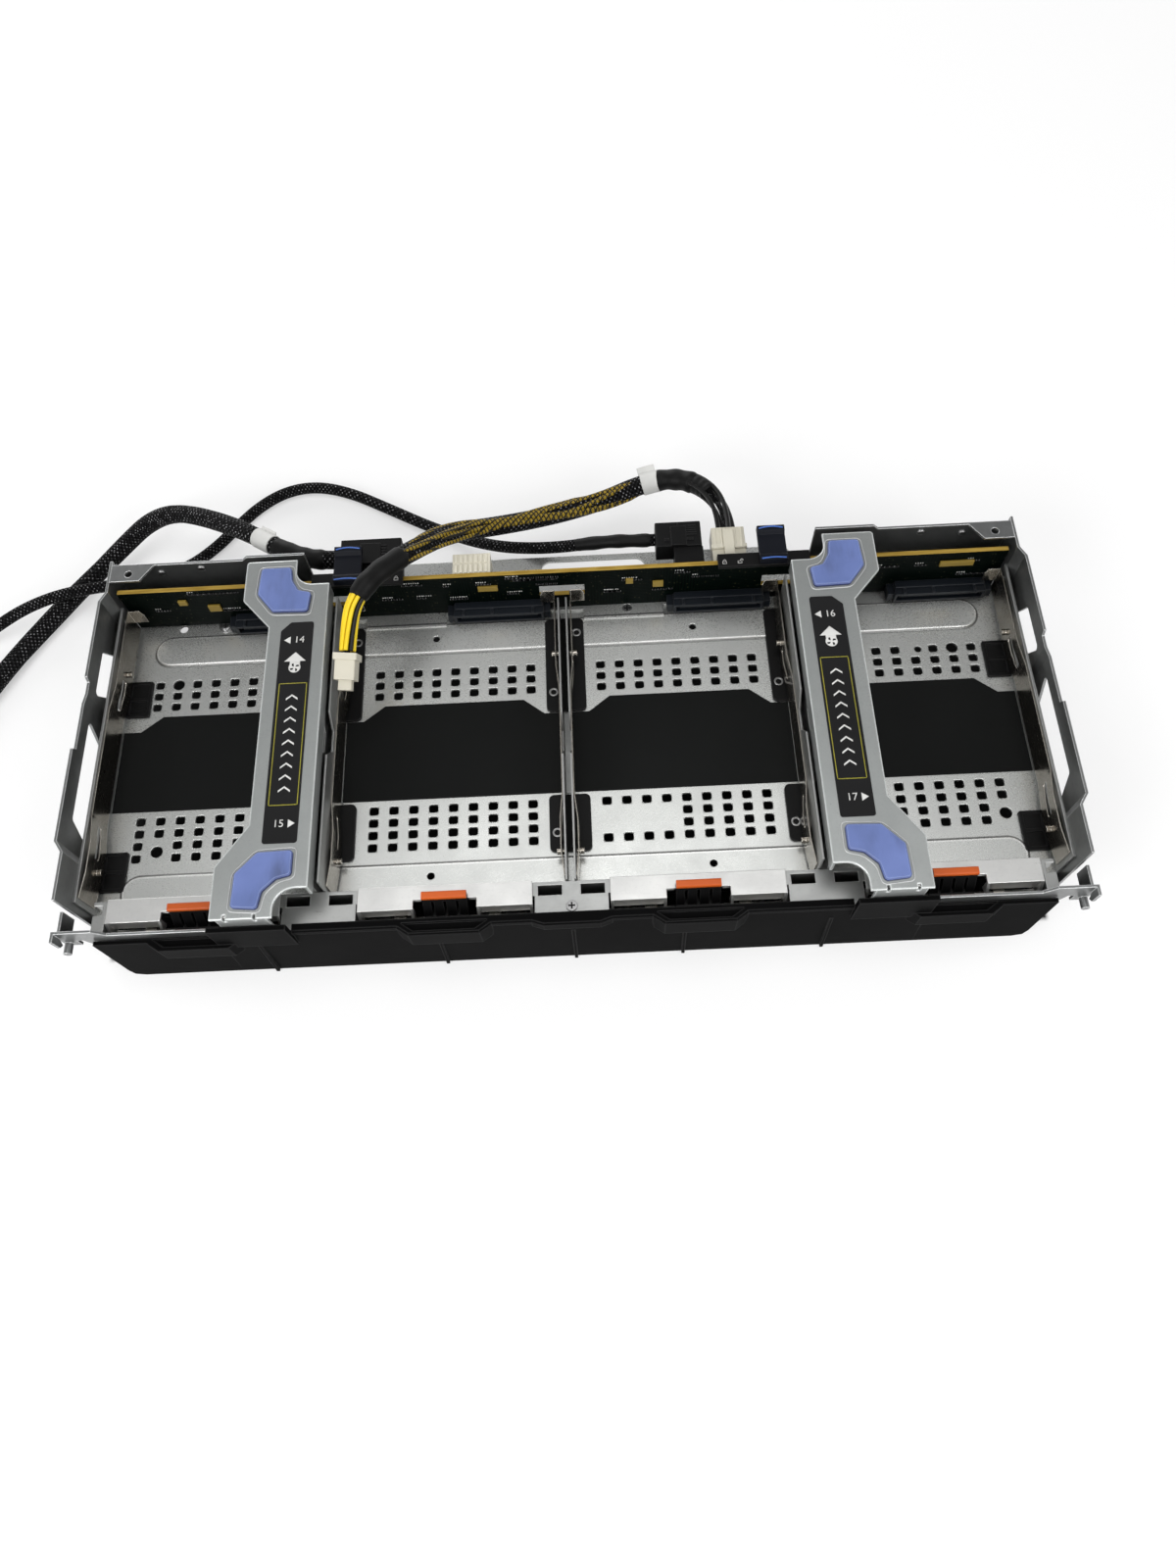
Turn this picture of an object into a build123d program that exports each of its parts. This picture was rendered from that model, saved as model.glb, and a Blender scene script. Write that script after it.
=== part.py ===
from build123d import *
import math
import os

# Hot swap drive cage: four 3.5 inch drives side by side in front of one backplane board
# Millimetres, worked out in the deck frame: X across, Y to the rear, Z up from the deck's top face
# Y is zero on the front row of deck perforations, X is zero on the middle divider

# Drive, from its standard
drive_width = 101.6
drive_length = 147.0
drive_hole_spacing = 101.6
drive_hole_inset = 28.5
drive_hole_height = 6.35

# Cage
bay_count = 4
bay_gap = 6.1
bay_pitch = drive_width + bay_gap
sheet = 1.2
thin_sheet = 0.8
soft_gap = 0.3
running_gap = 0.06
overrun = 5.0
drive_floor = 1.5
deck_height = 22.0
wall_top = 35.0
bar_top = 38.6
rail_top = 18.0
front_pin_y = -27.0

rear_pin_y = front_pin_y + drive_hole_spacing
drive_rear_y = rear_pin_y + drive_hole_inset
drive_front_y = drive_rear_y - drive_length
pin_z = drive_floor + drive_hole_height
bay_centres = [bay_pitch * (number + (1 - bay_count) / 2) for number in range(bay_count)]
divider_places = [bay_pitch * (number + 1 - bay_count / 2) for number in range(bay_count - 1)]
outer_bay = bay_centres[-1]
last_divider = divider_places[-1]
sides = (-1, 1)


# A plain block between two corners
def block(x0, x1, y0, y1, z0, z1):
    middle = Pos((x0 + x1) / 2, (y0 + y1) / 2, (z0 + z1) / 2)
    return middle * Box(abs(x1 - x0), abs(y1 - y0), abs(z1 - z0))


# An outline in X and Y, raised from z0 to z1, with its corners rounded
def prism(points, z0, z1, radius=0):
    face = make_face(Polyline(*points, close=True))
    if radius > 0:
        face = fillet(face.vertices(), radius)
    return extrude(Plane.XY.offset(z0) * face, z1 - z0)


# An outline in Y and Z, drawn out along X
def along_x(points, x0, x1, radius=0):
    face = make_face(Polyline(*points, close=True))
    if radius > 0:
        face = fillet(face.vertices(), radius)
    plane = Plane(origin=(min(x0, x1), 0, 0), x_dir=(0, 1, 0), z_dir=(1, 0, 0))
    return extrude(plane * face, abs(x1 - x0))


# An outline in X and Z, drawn out along Y
def along_y(points, y0, y1, radius=0):
    face = make_face(Polyline(*points, close=True))
    if radius > 0:
        face = fillet(face.vertices(), radius)
    plane = Plane(origin=(0, max(y0, y1), 0), x_dir=(1, 0, 0), z_dir=(0, -1, 0))
    return extrude(plane * face, abs(y1 - y0))


# Round rods along each direction
def rod_x(x0, x1, y, z, radius):
    return Pos((x0 + x1) / 2, y, z) * Rot(0, 90, 0) * Cylinder(radius, abs(x1 - x0))


def rod_y(y0, y1, x, z, radius):
    return Pos(x, (y0 + y1) / 2, z) * Rot(90, 0, 0) * Cylinder(radius, abs(y1 - y0))


def rod_z(z0, z1, x, y, radius):
    return Pos(x, y, (z0 + z1) / 2) * Cylinder(radius, abs(z1 - z0))


# A round-ended strip along X, between two heights
def stadium(x0, x1, y0, y1, z0, z1):
    shape = SlotOverall(abs(x1 - x0), abs(y1 - y0))
    return Pos((x0 + x1) / 2, (y0 + y1) / 2, z0) * extrude(shape, z1 - z0)


def mirrored(shape):
    return mirror(shape, about=Plane.YZ)


# Deck pan: one flat sheet under all four bays, perforated for cooling air
bay_slack = 0.25
deck_half = outer_bay + drive_width / 2 + bay_slack
deck_rear_y = 121.0
tongue_rear_y = 137.0
tongue_left = -112.0
tongue_right = 116.0
rail_wall_gap = 0.5
rail_inner_y = drive_front_y - rail_wall_gap
hole_columns = 9
hole_pitch_x = 9.162
hole_pitch_y = 6.06
hole_width = 4.3
hole_depth = 4.1
rear_hole_rows = 3
front_hole_rows = 4
rear_hole_y = 72.2
grid_shifts = (0.0, 0.3, -0.2, -1.9)
air_hole_radius = 2.8
screw_spacing_x = 126.2
screw_spacing_y = 123.8
screw_hole_radius = 1.7
screw_row_rear_y = 90.6
emboss_width = 16.5
emboss_rise = 1.0
emboss_taper = 35
emboss_end_gap = 10.1
emboss_half = deck_half - emboss_end_gap
emboss_rear_y = 90.9
emboss_front_y = -34.9
locating_hole_radius = 2.1
locating_hole_inset = 22.3
locating_hole_x = deck_half - locating_hole_inset
locating_hole_y = 104.2
tongue_slot_width = 52.0
tongue_slot_depth = 9.0
tongue_slot_x = 15.5
tongue_slot_y = 129.5
tongue_corner = 6.0
bay4_screw_column = 1


def grid_hole(bay, column, y):
    x = bay_centres[bay] + grid_shifts[bay] + column * hole_pitch_x
    return Pos(x, y) * Rectangle(hole_width, hole_depth)


def deck_pan():
    last = (hole_columns - 1) // 2
    columns = range(-last, last + 1)
    # Left out for the larger round holes and for a blank patch in the third bay
    skipped_rear = {(0, -3, 0), (3, 3, 0), (3, bay4_screw_column, 0)}
    skipped_front = {(0, -3, 2), (0, -3, 3), (3, 4, 2), (3, 4, 3)}
    skipped_front |= {(2, column, row) for column in columns if column < 0 for row in (1, 2)}
    holes = []
    for bay in range(bay_count):
        for column in columns:
            for row in range(rear_hole_rows):
                if (bay, column, row) not in skipped_rear:
                    holes.append(grid_hole(bay, column, rear_hole_y - row * hole_pitch_y))
            for row in range(front_hole_rows):
                if (bay, column, row) not in skipped_front:
                    holes.append(grid_hole(bay, column, -row * hole_pitch_y))
    outline = [
        (-deck_half, rail_inner_y), (deck_half, rail_inner_y), (deck_half, deck_rear_y),
        (tongue_right, deck_rear_y), (tongue_right, tongue_rear_y), (tongue_left, tongue_rear_y),
        (tongue_left, deck_rear_y), (-deck_half, deck_rear_y)]
    face = make_face(Polyline(*outline, close=True))
    tongue_ends = [v for v in face.vertices() if v.Y > (deck_rear_y + tongue_rear_y) / 2]
    face = fillet(tongue_ends, tongue_corner)
    face -= Sketch() + holes
    shift = grid_shifts[0]
    big = [(bay_centres[0] + shift - 3 * hole_pitch_x, rear_hole_y),
           (bay_centres[0] + shift - 3 * hole_pitch_x, -(front_hole_rows - 1.5) * hole_pitch_y),
           (bay_centres[3] + grid_shifts[3] + 3 * hole_pitch_x, rear_hole_y),
           (bay_centres[3] + grid_shifts[3] + 4 * hole_pitch_x, -(front_hole_rows - 1.5) * hole_pitch_y)]
    for x, y in big:
        face -= Pos(x, y) * Circle(air_hole_radius)
    face -= Pos(bay_centres[3] + bay4_screw_column * hole_pitch_x, rear_hole_y) * Circle(screw_hole_radius)
    for side in sides:
        face -= Pos(side * locating_hole_x, locating_hole_y) * Circle(locating_hole_radius)
    face -= Pos(tongue_slot_x, tongue_slot_y) * SlotOverall(tongue_slot_width, tongue_slot_depth)
    pan = extrude(Plane.XY.offset(-sheet) * face, sheet)
    # Two long raised ribs stiffen the sheet, hollow beneath
    for y in (emboss_rear_y, emboss_front_y):
        half_width = emboss_width / 2
        rib = SlotOverall(2 * emboss_half, emboss_width)
        pan += Pos(0, y) * extrude(rib, emboss_rise, taper=emboss_taper)
        inner = half_width - sheet
        end = emboss_half - sheet
        pan -= stadium(-end, end, y - inner, y + inner, -sheet, emboss_rise - sheet)
    for side in sides:
        for y in (screw_row_rear_y, screw_row_rear_y - screw_spacing_y):
            pan -= rod_z(-sheet - overrun, overrun, side * screw_spacing_x / 2, y, screw_hole_radius)
    return pan


# Front rail: a wall at the drives' front ends, a shelf forward of it and a short lip
rail_end_gap = 7.6
rail_half = deck_half - rail_end_gap
shelf_front_y = -60.5
lip_depth = 6.0
flap_margin = 27.0
flap_width = drive_width - flap_margin
flap_gap = 0.8
window_rear_y = -50.5
window_front_y = -58.9
lever_slot_y = -48.9
strip_start = 43.5
strip_inner_x = last_divider + strip_start
strip_y = -60.2
lever_width = 19.0
side_slot_width = 10.2
side_slot_edge = 0.4
side_slot_rear_y = rail_inner_y - sheet - side_slot_edge
pivot_y = -56.0
pivot_z = 9.0
pin_radius = 1.5
tab_height = 7.0
tab_inset = 4.0
shelf_screw_y = -55.7
shelf_screw_radius = 1.6


def front_rail():
    wall_front = rail_inner_y - sheet
    section = [
        (rail_inner_y, -sheet), (rail_inner_y, rail_top), (shelf_front_y, rail_top),
        (shelf_front_y, rail_top - lip_depth), (shelf_front_y + sheet, rail_top - lip_depth),
        (shelf_front_y + sheet, rail_top - sheet), (wall_front, rail_top - sheet), (wall_front, -sheet)]
    rail = along_x(section, -rail_half, rail_half)
    for centre in bay_centres:
        half = flap_width / 2 + flap_gap
        rail -= block(centre - half, centre + half, window_front_y, window_rear_y,
                      rail_top - sheet - overrun, rail_top + overrun)
        slot_half = lever_width / 2 + flap_gap
        rail -= block(centre - slot_half, centre + slot_half, window_rear_y - overrun, lever_slot_y,
                      rail_top - sheet - overrun, rail_top + overrun)
        # Hanging tabs carry the flap's hinge pin
        for side in sides:
            inner = centre + side * half
            outer = centre + side * (half + sheet)
            rail += block(inner, outer, pivot_y - tab_inset, pivot_y + tab_inset,
                          pivot_z - tab_height / 2, rail_top)
            slot_start = half + sheet + soft_gap
            rail -= block(centre + side * slot_start, centre + side * (slot_start + side_slot_width),
                          window_rear_y, side_slot_rear_y, rail_top - sheet - overrun, rail_top + overrun)
        rail -= rod_x(centre - half - sheet - overrun, centre + half + sheet + overrun,
                      pivot_y, pivot_z, pin_radius + running_gap)
    rail -= rod_z(rail_top - sheet - overrun, rail_top + overrun, 0, shelf_screw_y, shelf_screw_radius)
    # Set back at both ends for the bright corner strips
    for side in sides:
        rail -= block(side * strip_inner_x, side * (rail_half + overrun), shelf_front_y - overrun,
                      strip_y + sheet, -overrun, rail_top + overrun)
    return rail


# Latch: a sprung flap holds the drive home, with a finger lever and an orange tab
flap_lift = 0.3
flap_front_y = -53.4
flap_lip_bottom = 11.6
flap_rear_overhang = 0.4
flap_notch_width = 27.0
flap_notch_rear_y = -50.4
ear_thickness = 1.2
ear_bottom = 5.6
ear_front = 2.2
lever_thickness = 2.6
lever_barrel = 3.2
lever_top = 21.0
lever_rear_y = -48.4
lever_foot_z = 6.2
hook_reach = 2.4
hook_drop = 6.0
hook_round = 0.4
lever_groove = 1.2
lever_groove_shares = (-0.55, 0.0, 0.55)
tab_cap_height = 2.6
tab_cap_depth = 3.4
tab_cap_width = 19.0
tab_cap_corner = 0.8


def latch_flap(centre):
    half = flap_width / 2
    bottom = rail_top + flap_lift
    top = bottom + sheet
    rear = rail_inner_y + flap_rear_overhang
    lip_front = flap_front_y - sheet
    section = [
        (rear, bottom), (rear, top), (lip_front, top), (lip_front, flap_lip_bottom),
        (flap_front_y, flap_lip_bottom), (flap_front_y, bottom)]
    flap = along_x(section, centre - half, centre + half)
    ear_side = [
        (flap_front_y, top), (pivot_y + ear_front, flap_lip_bottom), (pivot_y + ear_front, ear_bottom),
        (pivot_y - ear_front, ear_bottom), (pivot_y - ear_front, flap_lip_bottom), (lip_front, top)]
    # Small hooks are folded down beside the lever's notch
    hook = [
        (flap_front_y, bottom), (lip_front, bottom),
        (lip_front - hook_reach, bottom - hook_drop + hook_reach),
        (lip_front - hook_reach, bottom - hook_drop), (flap_front_y, bottom - hook_drop)]
    notch_half = flap_notch_width / 2
    for side in sides:
        flap += along_x(ear_side, centre + side * half, centre + side * (half - ear_thickness))
        flap += along_x(hook, centre + side * notch_half, centre + side * (notch_half + ear_thickness),
                        hook_round)
    flap -= block(centre - notch_half, centre + notch_half, lip_front - overrun,
                  flap_notch_rear_y, flap_lip_bottom - overrun, top + overrun)
    slot_half = lever_width / 2
    flap -= block(centre - slot_half, centre + slot_half, flap_notch_rear_y - overrun, lever_slot_y,
                  flap_lip_bottom - overrun, top + overrun)
    flap -= rod_x(centre - half - overrun, centre + half + overrun, pivot_y, pivot_z,
                  pin_radius + running_gap)
    return flap


# The lever and flap turn together; the lever's foot is a barrel on the same pin
def latch_lever(centre):
    half = lever_width / 2
    leg = [
        (lever_rear_y, lever_top), (lever_rear_y - lever_thickness, lever_top),
        (pivot_y - lever_thickness / 2, pivot_z), (pivot_y + lever_thickness / 2, lever_foot_z)]
    lever = along_x(leg, centre - half, centre + half)
    lever += rod_x(centre - half, centre + half, pivot_y, pivot_z, lever_barrel)
    # Two shallow grooves down its front face
    for share in lever_groove_shares:
        middle = centre + share * half
        lever -= block(middle - lever_groove / 2, middle + lever_groove / 2,
                       lever_rear_y - lever_thickness - overrun,
                       lever_rear_y - lever_thickness + lever_groove / 2, pivot_z + lever_barrel,
                       lever_top - lever_groove)
    lever -= rod_x(centre - half - overrun, centre + half + overrun, pivot_y, pivot_z,
                   pin_radius + running_gap)
    return lever


def release_tab(centre):
    half = tab_cap_width / 2
    rear = lever_rear_y + (tab_cap_depth - lever_thickness) / 2
    cap = block(centre - half, centre + half, rear - tab_cap_depth, rear, lever_top,
                lever_top + tab_cap_height)
    return fillet(cap.edges().filter_by(Axis.X), tab_cap_corner)


# Hinge pins and their torsion springs
spring_coil_radius = 2.3
spring_coil_length = 5.0
spring_wire = 0.8
spring_leg = 7.0


def latch_pins():
    reach = flap_width / 2 + flap_gap + sheet + soft_gap
    return [rod_x(c - reach, c + reach, pivot_y, pivot_z, pin_radius) for c in bay_centres]


def latch_springs():
    springs = []
    for centre in bay_centres:
        for side in sides:
            start = centre + side * (flap_notch_width / 2 + tab_inset + soft_gap)
            end = start + side * spring_coil_length
            coil = rod_x(start, end, pivot_y, pivot_z, spring_coil_radius)
            leg_y = pivot_y - spring_coil_radius + spring_wire / 2
            coil += rod_z(pivot_z, pivot_z + spring_leg, end - side * spring_wire, leg_y, spring_wire / 2)
            coil -= rod_x(start - side * overrun, end + side * overrun, pivot_y, pivot_z,
                          pin_radius + running_gap)
            springs.append(coil)
    return springs


# Inner side rails: low walls at both ends of the deck, slotted for the springs
rail_rear_y = 105.0
side_rail_top = 20.0
side_slot_height = 7.0
side_slot_low = 8.0
side_slot_rear = (53.0, 96.0)
side_slot_front = (-22.0, 8.0)


def side_rail():
    inner = deck_half
    rail = block(inner, inner + sheet, rail_inner_y, rail_rear_y, -sheet, side_rail_top)
    for start, end in (side_slot_rear, side_slot_front):
        corner_radius = side_slot_height / 2
        slot = [(start, side_slot_low), (end, side_slot_low), (end, side_slot_low + side_slot_height),
                (start, side_slot_low + side_slot_height)]
        rail -= along_x(slot, inner - overrun, inner + sheet + overrun, corner_radius * 0.9)
    return rail


# Outer side plates: tall joggled sheets that stand on the table, with windows
plate_front_y = -48.6
plate_rear_y = 121.5
plate_inner_x = deck_half + sheet
joggle = 2.6
joggle_run = 5.0
joggle_rear_y = 104.0
joggle_step_y = 46.0
joggle_step = 0.8
joggle_front_y = -22.0
window_long = (-17.0, 41.0)
window_short = (54.0, 86.0)
window_low = 4.0
window_high = 25.0
window_slant = 9.0
window_corner = 2.0
plate_foot = 7.0
crest_drop = 3.0
crest_start_y = 20.0
crest_end_y = 60.0
foot_cut = (-20.0, 88.0)
foot_cut_top = -9.0


def side_plate():
    near = plate_inner_x + sheet / 2
    mid = near + joggle
    far = mid + joggle_step
    path = [
        (near, plate_rear_y), (near, joggle_rear_y), (mid, joggle_rear_y - joggle_run),
        (mid, joggle_step_y + joggle_run), (far, joggle_step_y), (far, joggle_front_y),
        (near, joggle_front_y - joggle_run), (near, plate_front_y)]
    outer = [(x + sheet / 2, y) for x, y in path]
    inner = [(x - sheet / 2, y) for x, y in path]
    panel = prism(outer + inner[::-1], -deck_height, wall_top)
    left = near - overrun
    right = far + overrun
    low, high = window_long
    panel -= along_x([(low, window_low), (high - window_slant, window_low), (high, window_high),
                      (low + window_slant, window_high)], left, right, window_corner)
    low, high = window_short
    panel -= along_x([(low + window_slant, window_low), (high, window_low),
                      (high - window_slant, window_high),
                      (low, window_high)], left, right, window_corner)
    # The crest steps down between the two tall ends
    panel -= along_x([(crest_start_y, wall_top + overrun),
                      (crest_start_y + crest_drop, wall_top - crest_drop),
                      (crest_end_y - crest_drop, wall_top - crest_drop), (crest_end_y, wall_top + overrun)],
                     left, right)
    low, high = foot_cut
    panel -= along_x([(low, -deck_height - overrun), (low + window_slant, foot_cut_top),
                      (high - window_slant, foot_cut_top), (high, -deck_height - overrun)], left, right)
    for start, end in ((plate_front_y, low - window_slant), (high + window_slant, plate_rear_y)):
        panel += block(near - plate_foot, near, start, end, -deck_height, sheet - deck_height)
    return panel


# Rear panels behind the board, each with a flange folded forward at the outer end
panel_y = 118.0
panel_outer_x = plate_inner_x
panel_start = 13.3
panel_inner_x = last_divider + panel_start
panel_step = 43.3
panel_step_x = last_divider + panel_step
flange_length = 20.0
flange_inner_x = panel_outer_x - flange_length
flange_front_y = 109.6
flange_hole_inset = 8.6
flange_hole_x = panel_outer_x - flange_hole_inset
flange_hole_y = 113.6
flange_hole_radius = 1.8
flange_chamfer = 6.0
panel_rise = bar_top - sheet


def rear_panel():
    outline = [
        (panel_inner_x, 0), (panel_outer_x, 0), (panel_outer_x, wall_top),
        (panel_step_x, wall_top), (panel_step_x - (panel_rise - wall_top), panel_rise),
        (panel_inner_x, panel_rise)]
    panel = along_y(outline, panel_y, panel_y + sheet)
    flange = [
        (panel_outer_x, panel_y), (panel_outer_x, flange_front_y),
        (flange_inner_x + flange_chamfer, flange_front_y),
        (flange_inner_x, panel_y)]
    panel += prism(flange, wall_top - sheet, wall_top)
    panel -= rod_z(wall_top - overrun, wall_top + overrun, flange_hole_x, flange_hole_y, flange_hole_radius)
    return panel


# Backplane board with its stand-off rail, drive connectors and headers
board_gap = 2.4
board_thickness = 2.3
board_side_gap = 1.0
board_half = deck_half - board_side_gap
board_top = 30.4
board_y = drive_rear_y + board_gap
board_rear_y = board_y + board_thickness
board_slot_width = 22.0
board_slot_height = 8.0
board_slot_low = 12.0

ledge_rise = drive_floor
board_bottom = ledge_rise
ledge_front_y = 97.4
ledge_left = -163.0
ledge_right = 96.0
ledge_rear_y = 112.0
ledge_relief = 1.5

connector_width = 44.0
connector_left = 0.4
connector_front_y = 98.0
connector_low = 2.4
connector_high = 8.8
connector_tongue = 2.0
connector_wall = 1.2
connector_ear = 3.2
connector_mouth = 2.4


def backplane_board():
    board = block(-board_half, board_half, board_y, board_rear_y, board_bottom, board_top)
    # Air slots between the connectors
    for place in divider_places:
        board -= block(place - board_slot_width / 2, place + board_slot_width / 2, board_y - overrun,
                       board_rear_y + overrun, board_slot_low, board_slot_low + board_slot_height)
    return board


def rear_ledge():
    ledge = block(ledge_left, ledge_right, ledge_front_y, ledge_rear_y, 0, ledge_rise)
    ledge -= block(ledge_left, ledge_right, ledge_front_y - overrun, emboss_rear_y + emboss_width / 2,
                   -overrun, emboss_rise)
    for centre in bay_centres:
        left = centre + connector_left - connector_ear - ledge_relief
        right = centre + connector_left + connector_width + connector_ear + ledge_relief
        ledge -= block(left, right, ledge_front_y - overrun, board_y - ledge_relief, -overrun, overrun)
    for place in divider_places:
        ledge -= block(place - guide_half - soft_gap, place + guide_half + soft_gap, ledge_front_y - overrun,
                       drive_rear_y + soft_gap, -overrun, overrun)
    ledge -= rod_z(-overrun, overrun, ledge_screw_x, ledge_screw_y, screw_head_radius)
    return ledge


# One serial-attached connector: a housing with a tongue in its mouth and two guide ears
def drive_connector(centre):
    left = centre + connector_left
    right = left + connector_width
    body = block(left, right, connector_front_y, board_y, connector_low, connector_high)
    body -= block(left + connector_wall, right - connector_wall, connector_front_y - overrun,
                  board_y - connector_mouth, connector_low + connector_wall, connector_high - connector_wall)
    tongue_low = (connector_low + connector_high - connector_tongue) / 2
    body += block(left + connector_ear, right - connector_ear, connector_front_y + connector_wall, board_y,
                  tongue_low, tongue_low + connector_tongue)
    for x0, x1 in ((left - connector_ear, left), (right, right + connector_ear)):
        body += block(x0, x1, connector_front_y + connector_wall, board_y, connector_low,
                      connector_high - connector_wall)
    return body


header_low = 17.6
header_high = 26.0
ivory_header_high = 29.6
ivory_header_x = (-51.4, -33.4)
ivory_header_rear_y = 119.5
power_header_x = (73.4, 89.4)
power_header_rear_y = 117.4
header_wall = 1.2
signal_socket_x = (55.0, 69.0)
signal_socket_rear_y = 120.0
left_socket_x = (-94.5, -77.0)
left_socket_rear_y = 118.5


# An open-ended shell on the board's rear face
def socket(span, rear_y, low, high):
    body = block(span[0], span[1], board_rear_y, rear_y, low, high)
    body -= block(span[0] + header_wall, span[1] - header_wall, board_rear_y + header_wall,
                  rear_y + overrun, low + header_wall, high - header_wall)
    return body


# Small parts on the board's front face: chips, lamps and two long yellow capacitors
chip_standoff = 1.1
# Left edge, foot, width and height, as shares of half the board's width and of its height
chip_shares = (
    (-0.190, 0.64, 0.045, 0.11), (-0.714, 0.62, 0.057, 0.10), (0.855, 0.70, 0.076, 0.11),
    (0.147, 0.66, 0.016, 0.11), (0.208, 0.54, 0.024, 0.13), (-0.874, 0.66, 0.019, 0.11),
    (-0.813, 0.46, 0.028, 0.15))


def board_components():
    chips = []
    for left_share, foot_share, width_share, height_share in chip_shares:
        x = left_share * board_half
        z = foot_share * board_top
        chips.append(block(x, x + width_share * board_half, board_y - chip_standoff, board_y,
                           z, z + height_share * board_top))
    return chips


# Board release: a base strip on the board's top edge and a slider on it
release_base_reach = (-33.1, 10.3)
release_base_x = (last_divider + release_base_reach[0], last_divider + release_base_reach[1])
release_base_height = 1.8
release_base_front_y = 102.9
release_base_rear_y = 110.2
release_hook = 4.0
slider_reach = (-13.7, -0.7)
slider_x = (last_divider + slider_reach[0], last_divider + slider_reach[1])
slider_lift = 0.3
slider_height = 3.6
slider_front_y = 103.2
slider_rear_y = 122.6
slider_grip = 3.0
slider_rise = 3.4
slider_waist = 1.2


def release_base():
    base = block(release_base_x[0], release_base_x[1], release_base_front_y, release_base_rear_y,
                 board_top, board_top + release_base_height)
    base += block(release_base_x[0], release_base_x[0] + release_hook, board_rear_y,
                  release_base_rear_y, board_top - release_hook, board_top)
    return base


def release_slider():
    low = board_top + release_base_height + slider_lift
    high = low + slider_height
    outline = [
        (slider_front_y, low), (slider_rear_y, low), (slider_rear_y, low + slider_height),
        (slider_rear_y - slider_grip, low + slider_height),
        (slider_rear_y - slider_grip - slider_waist, low + slider_rise - slider_waist),
        (slider_front_y + slider_grip + slider_waist, low + slider_rise - slider_waist),
        (slider_front_y + slider_grip, low + slider_rise), (slider_front_y, high)]
    slider = along_x(outline, slider_x[0], slider_x[1])
    slider = fillet(slider.edges().filter_by(Axis.Y).group_by(Axis.X)[0], slider_waist / 2)
    slider += block(slider_x[0] + slider_grip, slider_x[1] - slider_grip, release_base_rear_y + soft_gap,
                    release_base_rear_y + soft_gap + slider_grip, board_top - slider_waist, low)
    return slider


# Dividers: two thin walls on a shared foot, open at the top
divider_half = 2.3
centre_divider_top = 20.0
side_divider_top = 30.0
divider_rear_y = 98.6
guide_half = 9.5
guide_thickness = drive_floor
guide_rear = (47.0, 98.4)
guide_front = (-24.4, 3.4)
guide_corner = 2.5
divider_notch_drop = 9.0
divider_notch = (12.0, 40.0)


def bay_divider(place, top):
    wall = block(divider_half - thin_sheet, divider_half, rail_inner_y + soft_gap, divider_rear_y, 0, top)
    for start, end in (guide_rear, guide_front):
        wall -= block(-overrun, divider_half + overrun, start - soft_gap, end + soft_gap, -overrun,
                      guide_thickness + soft_gap)
    low, high = divider_notch
    cut = [(low, top + overrun), (low + divider_notch_drop, top - divider_notch_drop),
           (high - divider_notch_drop, top - divider_notch_drop), (high, top + overrun)]
    wall -= along_x(cut, -overrun, divider_half + overrun)
    # The emboss in the deck passes beneath the walls
    for y in (emboss_rear_y, emboss_front_y):
        reach = emboss_width / 2 + soft_gap
        wall -= block(-overrun, divider_half + overrun, y - reach, y + reach, -overrun, emboss_rise)
    walls = wall + mirrored(wall)
    web_start = guide_front[1] + sheet
    web_end = guide_rear[0] - sheet
    walls += block(-divider_half, divider_half, web_start, web_end, 0, thin_sheet)
    return Pos(place, 0, 0) * walls


# Spring strips: one each side of a bay, bowed inward with a pin for each side hole of the drive
spring_thickness = 0.5
spring_low = 3.0
spring_high = 18.5
spring_front_y = -42.0
spring_rear_y = 103.4
spring_bow = 1.3
spring_bow_run = 12.0
spring_flag = 6.6
spring_flag_low = 6.4
pin_body_radius = 1.45
pin_reach = 2.2
pin_back = 1.2
lance_length = 16.0
lance_height = 4.0
lance_gap = 5.0
spring_tip = 3.0


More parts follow.
